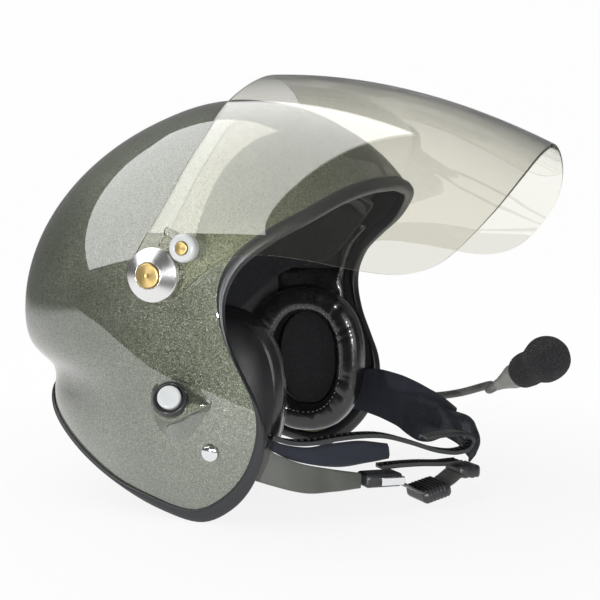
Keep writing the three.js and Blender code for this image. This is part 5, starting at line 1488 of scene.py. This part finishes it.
def band_mesh(name, rows, thickness, look, steps, node, wave, hem, seed):
    """Flat band between two edge curves, with rounded edges, pressed hems and a slight ripple."""
    hw = sizes().half_width
    low, high = (spline([np.array(r[k:k + 3]) * hw for r in rows], steps, even=False) for k in (0, 3))
    sections, uvs, across = [], [], 14
    run, round_edge = 0.0, thickness * 0.45
    rng = random.Random(seed)
    phase = [rng.uniform(0, 6.28) for _ in range(3)]
    for i in range(steps + 1):
        a, b = v3(low[i]), v3(high[i])
        i0, i1 = max(i - 1, 0), min(i + 1, steps)
        t = (v3(low[i1]) - v3(low[i0]) + v3(high[i1]) - v3(high[i0])).normalized()
        if i:
            run += ((a + b) / 2 - (v3(low[i - 1]) + v3(high[i - 1])) / 2).length
        w = b - a
        width = w.length
        w = w / width
        n = t.cross(w).normalized()
        swing, ripple = wave * math.sin(run * 160 + phase[0]), wave * 0.6 * math.sin(run * 330 + phase[2])
        upper, lower, spots = [], [], []
        for j in range(across + 1):
            k = j / across
            edge = min(k, 1 - k) * width
            half = thickness / 2 * min(1.0, 0.35 + (edge / round_edge) ** 0.5 * 0.65)
            if hem and abs(edge - hem) < hem * 0.22:
                half *= 0.8
            lift = min(1.0, run / 0.03) * (swing * math.sin(k * 3.1 + phase[1]) + ripple)
            middle = a + w * (k * width) + n * lift
            upper.append(middle + n * half)
            lower.append(middle - n * half)
            spots.append((run, k * width))
        sections.append(upper + lower[::-1])
        uvs.append(spots + spots[::-1])
    grid_piece(name, sections, look, 60, uv=uvs, body="chin_strap", stands_for=[node])


def toothed_mesh(name, rows, teeth, node):
    """Toothed strip along a curve, with a raised rail on either side of its teeth."""
    s = bpy.context.scene.helmet_strap
    hw = sizes().half_width
    across = Vector((0.71, 0.7, 0)).normalized()
    steps = teeth * 6
    route = spline([np.array(r) * hw for r in rows], steps)
    half, wall, rail = s.ratchet_width / 2, s.ratchet_wall, 0.0011
    shoulder = wall + s.tooth * 0.55
    sections = []
    for i in range(steps + 1):
        p = v3(route[i])
        t = (v3(route[min(i + 1, steps)]) - v3(route[max(i - 1, 0)])).normalized()
        w = (across - t * across.dot(t)).normalized()
        n = t.cross(w).normalized()
        tooth = s.tooth * (0.0, 0.25, 0.95, 1.0, 0.6, 0.05)[i % 6] if 2 < i < steps - 2 else 0.0
        ridge = wall * 0.8 + tooth
        right = [(half - 0.0003, 0), (half, 0.0004), (half, shoulder), (half - 0.0004, wall + s.tooth * 0.7),
                 (half - rail, shoulder), (half - rail - 0.0002, ridge)]
        left = [(-a, b) for a, b in right]
        sections.append([p + w * a + n * b for a, b in left[:1] + right + [(0, ridge)] + left[:0:-1]])
    grid_piece(name, sections, "ratchet_plastic", 38, body="chin_strap", stands_for=[node])


def block_mesh(name, place, along, across, size, corner, look, node, body="chin_strap", ribs=0, rib_depth=0.0):
    """Rounded block built from rounded cross-sections along its width, with optional ribs."""
    length_, width, depth = size
    x = along.normalized()
    z = (across - x * across.dot(x)).normalized()
    y = z.cross(x)
    rows, steps, arc = [], 22, 12
    for k in range(steps + 1):
        u = -1 + 2 * k / steps
        edge = min(1.0, (1 - abs(u)) * width / 2 / corner)
        shrink = corner * (1 - math.sqrt(max(0.0, 1 - (1 - edge) ** 2)))
        hl, hd = length_ / 2 - shrink, depth / 2 - shrink
        c = min(corner, hd * 0.9)
        ring = []
        cx, cy = hl - c, hd - c
        for ax, ay, start in (cx, cy, 0), (-cx, cy, 90), (-cx, -cy, 180), (cx, -cy, 270):
            for q in range(arc + 1):
                a = math.radians(start + 90 * q / arc)
                ring.append((ax + c * math.cos(a), ay + c * math.sin(a)))
        if ribs:
            corners, ring = ring, []
            for p, q in zip(corners, corners[1:] + corners[:1]):
                n = max(1, int(math.hypot(q[0] - p[0], q[1] - p[1]) / (length_ / (ribs * 8))))
                for i in range(n):
                    px, py = p[0] + (q[0] - p[0]) * i / n, p[1] + (q[1] - p[1]) * i / n
                    if abs(px) < hl - c * 0.6:
                        cut = rib_depth * (0.5 - 0.5 * math.cos(2 * math.pi * ribs * (px / length_ + 0.5)))
                        py -= math.copysign(cut, py)
                    ring.append((px, py))
        rows.append([place + x * px + y * py + z * (u * width / 2) for px, py in ring])
    n = min(len(r) for r in rows)
    rows = [r if len(r) == n else [r[int(i * len(r) / n)] for i in range(n)] for r in rows]
    grid_piece(name, rows, look, 40, body=body, stands_for=[node])


BANDS = (  # name, edge rows, sleeve or not, finish, steps, solid, ripple, hem, seed
    ("web_right", RIGHT_BAND, False, "strap_webbing", 120, "strap_right", 0.00025, 0.0, 3),
    ("band_left", LEFT_BAND, False, "strap_band", 130, "strap_left", 0.0004, 0.0025, 5),
    ("sleeve_woven", SLEEVE, True, "strap_band", 110, "strap_sleeve", 0.0002, 0.0015, 7),
    ("web_link", LINK, False, "strap_band", 90, "strap_link", 0.0003, 0.0, 9),
    ("web_lower", LOWER_WEB, False, "strap_webbing", 80, "strap_lower", 0.0002, 0.0, 13),
)
BAND_ROOTS = {"web_right": (-1, 0.4, 0.5), "band_left": (1, 0.45, 0.55)}  # side, and how low the root reaches


class HELMET_OT_chin_strap(PieceMaker):
    """Lays the chin strap: bands, sleeve, toothed strips, buckle, slider and end"""
    bl_idname = "helmet.chin_strap"
    bl_label = "Chin strap"

    def root_rows(self, web, side, behind, below):
        """Rows that carry a band's root along the inside of the shell, past its rivet."""
        hw, inset = sizes().half_width, sizes().wall + web / 2 + RIVET_SINK
        y, z, w = *RIVET, ROOT_WIDTH
        spots = (y + w * 0.6, z - w * behind, z + w * 0.42), (y, z - w * below, z + w * 0.45)
        return [[k for h in (low, high) for k in shell_point(at, h, inset, side) / hw] for at, low, high in spots]

    def make(self, context):
        s = context.scene.helmet_strap
        hw = sizes().half_width
        for name, rows, sleeve, look, steps, node, wave, hem, seed in BANDS:
            if name in BAND_ROOTS:
                rows = self.root_rows(s.web, *BAND_ROOTS[name]) + rows
            band_mesh(name, rows, s.pad if sleeve else s.web, look, steps, node, wave, hem, seed)
        toothed_mesh("strip_looped", RATCHET, 44, "ratchet_strap")
        toothed_mesh("strip_short", STRIP, 17, "ratchet_strip")
        across, along = Vector((0.71, 0.7, 0)), Vector((0.7, -0.71, -0.05))
        buckle = Vector(BUCKLE) * hw
        block_mesh("buckle_case", buckle, along, across, (0.024, 0.014, 0.008), 0.0022, "hardware_plastic",
                   "buckle_body")
        lever = buckle - across * ((0.014 + 0.0018) / 2 + HARD_GAP) + along * 0.0045
        block_mesh("buckle_lever_plate", lever, along, Vector((0, 0, 1)), (0.015, 0.005, 0.0018), 0.0007,
                   "rivet_chrome", "buckle_lever", body="strap_lever")
        block_mesh("slider_ribbed", Vector(SLIDER) * hw, Vector((0.66, -0.69, 0.2)), across, (0.019, 0.024, 0.0085),
                   0.003, "hardware_plastic", "strap_slider", ribs=8, rib_depth=0.00045)
        block_mesh("end_keeper", Vector(STRAP_END) * hw, along, across, (0.015, 0.018, 0.008), 0.0022,
                   "hardware_plastic", "strap_end", ribs=3, rib_depth=0.0005)


MIC_SHAPE = (  # place along, half width and half thickness of the flared housing
    (0.0, 0.0028, 0.0028), (0.0006, 0.0034, 0.0034), (0.004, 0.0040, 0.0037), (0.009, 0.0057, 0.0043),
    (0.013, 0.0074, 0.0048), (0.0155, 0.0080, 0.0050), (0.0170, 0.0079, 0.0049), (0.0176, 0.0073, 0.0047),
    (0.0179, 0.0050, 0.0046), (0.030, 0.0050, 0.0050), (0.0365, 0.0047, 0.0047), (0.038, 0.0040, 0.0040),
)


class HELMET_OT_microphone(PieceMaker):
    """Bends the boom and fits the microphone and its foam windscreen"""
    bl_idname = "helmet.microphone"
    bl_label = "Boom microphone"

    def make(self, context):
        q = context.scene.helmet_soft
        behind = 0.0276  # from the housing's start to the middle of the windscreen's rear
        start = Vector(MIC_REAR) * sizes().half_width - MIC_AXIS * behind
        self.boom(q, start)
        wide = Vector((1, 0, 0)).cross(MIC_AXIS).normalized()
        thin = MIC_AXIS.cross(wide)
        turns = np.linspace(0, 2 * math.pi, 48, endpoint=False)
        rows = [[start + MIC_AXIS * along + wide * math.cos(t) * a + thin * math.sin(t) * b for t in turns]
                for along, a, b in MIC_SHAPE]
        grid_piece("mic_capsule", rows, "mic_plastic", 50, body="boom", stands_for=["mic_housing"])
        self.windscreen(q, start, behind)

    def boom(self, q, start):
        """Swivel disc on the shell and the bent tube from it to the microphone."""
        seat = shell_point(*BOOM_SEAT, side=1)
        axis = shell_normal(seat)
        gap, depth, r = HARD_GAP, 0.004, 0.007
        disc = rounded_profile([
            (0, 0), (r, 0), (r, depth * 0.7), (r * 0.86, depth), (r * 0.3, depth), (0, depth * 0.93)], 0.0006)
        turned_piece("boom_swivel_disc", disc, seat + axis * gap * 2, axis, "hardware_plastic", body="boom",
                     stands_for=["boom_pivot"])
        route = [seat + axis * (depth + gap * 3 + q.boom_radius)]
        route += [Vector(p) * sizes().half_width for p in BOOM]
        route += [start - MIC_AXIS * q.boom_radius * 2, start - MIC_AXIS * gap]
        steps = 150
        points = [v3(p) for p in spline([tuple(p) for p in route], steps)]
        side, sections = Vector((0, 0, 1)), []
        for i, p in enumerate(points):
            t = (points[min(i + 1, steps)] - points[max(i - 1, 0)]).normalized()
            side = (side - t * side.dot(t)).normalized()
            other = t.cross(side)
            r = q.boom_radius * (1.12 if i < 6 or i > steps - 10 else 1.0)
            if i in (0, steps):
                r *= 0.7
            sections.append([p + side * math.cos(a) * r + other * math.sin(a) * r
                             for a in np.linspace(0, 2 * math.pi, 20, endpoint=False)])
        grid_piece("boom_tube", sections, "boom_rubber", 50, body="boom", stands_for=["mic_boom"])

    def windscreen(self, q, start, behind):
        """Foam of two lobes over the housing's front, bumpy all round."""
        big, small = q.foam_radius, q.foam_rear
        f0, f1 = behind - small * 0.85, behind + 0.0157
        profile = [(0.0054, f0 + 0.006), (0.0054, f0 + 0.0006), (small * 0.62, f0 - 0.0002)]
        profile += [(small * r, f0 + small * h) for r, h in ((0.78, 0.1), (0.93, 0.35), (1, 0.75), (0.985, 1.05))]
        profile += [(small * 0.98, f1 - big * 0.78)]
        profile += [(big * r, f1 + big * h) for r, h in (
            (0.86, -0.55), (0.96, -0.28), (1, 0.0), (0.97, 0.22), (0.88, 0.46), (0.74, 0.67), (0.54, 0.84), (0.3, 0.95),
            (0.05, 0.995))]
        rng = random.Random(4)
        waves = [(rng.randint(2, 6), rng.uniform(0, 6.28), rng.uniform(120, 420)) for _ in range(6)]
        turn = Vector((0, 0, 1)).rotation_difference(MIC_AXIS).to_matrix()
        rows = []
        for radius, height in spline(profile, 70):
            ring = []
            for k in range(80):
                a = 2 * math.pi * k / 80
                bump = sum(math.sin(m * a + p + height * w) for m, p, w in waves) * 0.00009
                r = max(radius + (bump if radius > 0.006 else 0), 0.0001)
                ring.append(start + turn @ Vector((r * math.cos(a), r * math.sin(a), height)))
            rows.append(ring)
        foam = grid_piece("windscreen_foam", rows, "foam_fabric", body="boom", stands_for=["mic_windscreen"])


MAKERS = (
    HELMET_OT_camera, HELMET_OT_stage, HELMET_OT_shell, HELMET_OT_trim, HELMET_OT_liner, HELMET_OT_ear_cups,
    HELMET_OT_cheek_panels, HELMET_OT_visor, HELMET_OT_knobs, HELMET_OT_switch, HELMET_OT_rivets, HELMET_OT_chin_strap,
    HELMET_OT_microphone,
)


class HELMET_PT_panel(bpy.types.Panel):
    """Lists the helmet's makers"""
    bl_label = "Flying helmet"
    bl_idname = "HELMET_PT_panel"
    bl_space_type = "VIEW_3D"
    bl_region_type = "UI"
    bl_category = "Helmet"

    def draw(self, context):
        for maker in MAKERS:
            self.layout.operator(maker.bl_idname)
        for name in GROUPS:
            group = getattr(context.scene, name)
            box = self.layout.box()
            for prop in group.__annotations__:
                box.prop(group, prop)


GROUPS = {
    "helmet_shell": ShellSizes,
    "helmet_visor": VisorSizes,
    "helmet_hardware": HardwareSizes,
    "helmet_soft": SoftSizes,
    "helmet_strap": StrapSizes,
    "helmet_colours": HelmetColours,
    "helmet_stage": StageSettings,
}


def register():
    for group in GROUPS.values():
        bpy.utils.register_class(group)
    for name, group in GROUPS.items():
        setattr(bpy.types.Scene, name, PointerProperty(type=group))
    for maker in MAKERS:
        bpy.utils.register_class(maker)
    bpy.utils.register_class(HELMET_PT_panel)


def unregister():
    bpy.utils.unregister_class(HELMET_PT_panel)
    for maker in reversed(MAKERS):
        bpy.utils.unregister_class(maker)
    for name in GROUPS:
        delattr(bpy.types.Scene, name)
    for group in reversed(list(GROUPS.values())):
        bpy.utils.unregister_class(group)


def main():
    register()
    make_finishes()
    for maker in MAKERS:
        call = getattr(bpy.ops.helmet, maker.bl_idname.split(".")[1])
        if call() != {"FINISHED"}:
            raise RuntimeError("could not finish " + maker.bl_label)


if __name__ == "__main__":
    main()
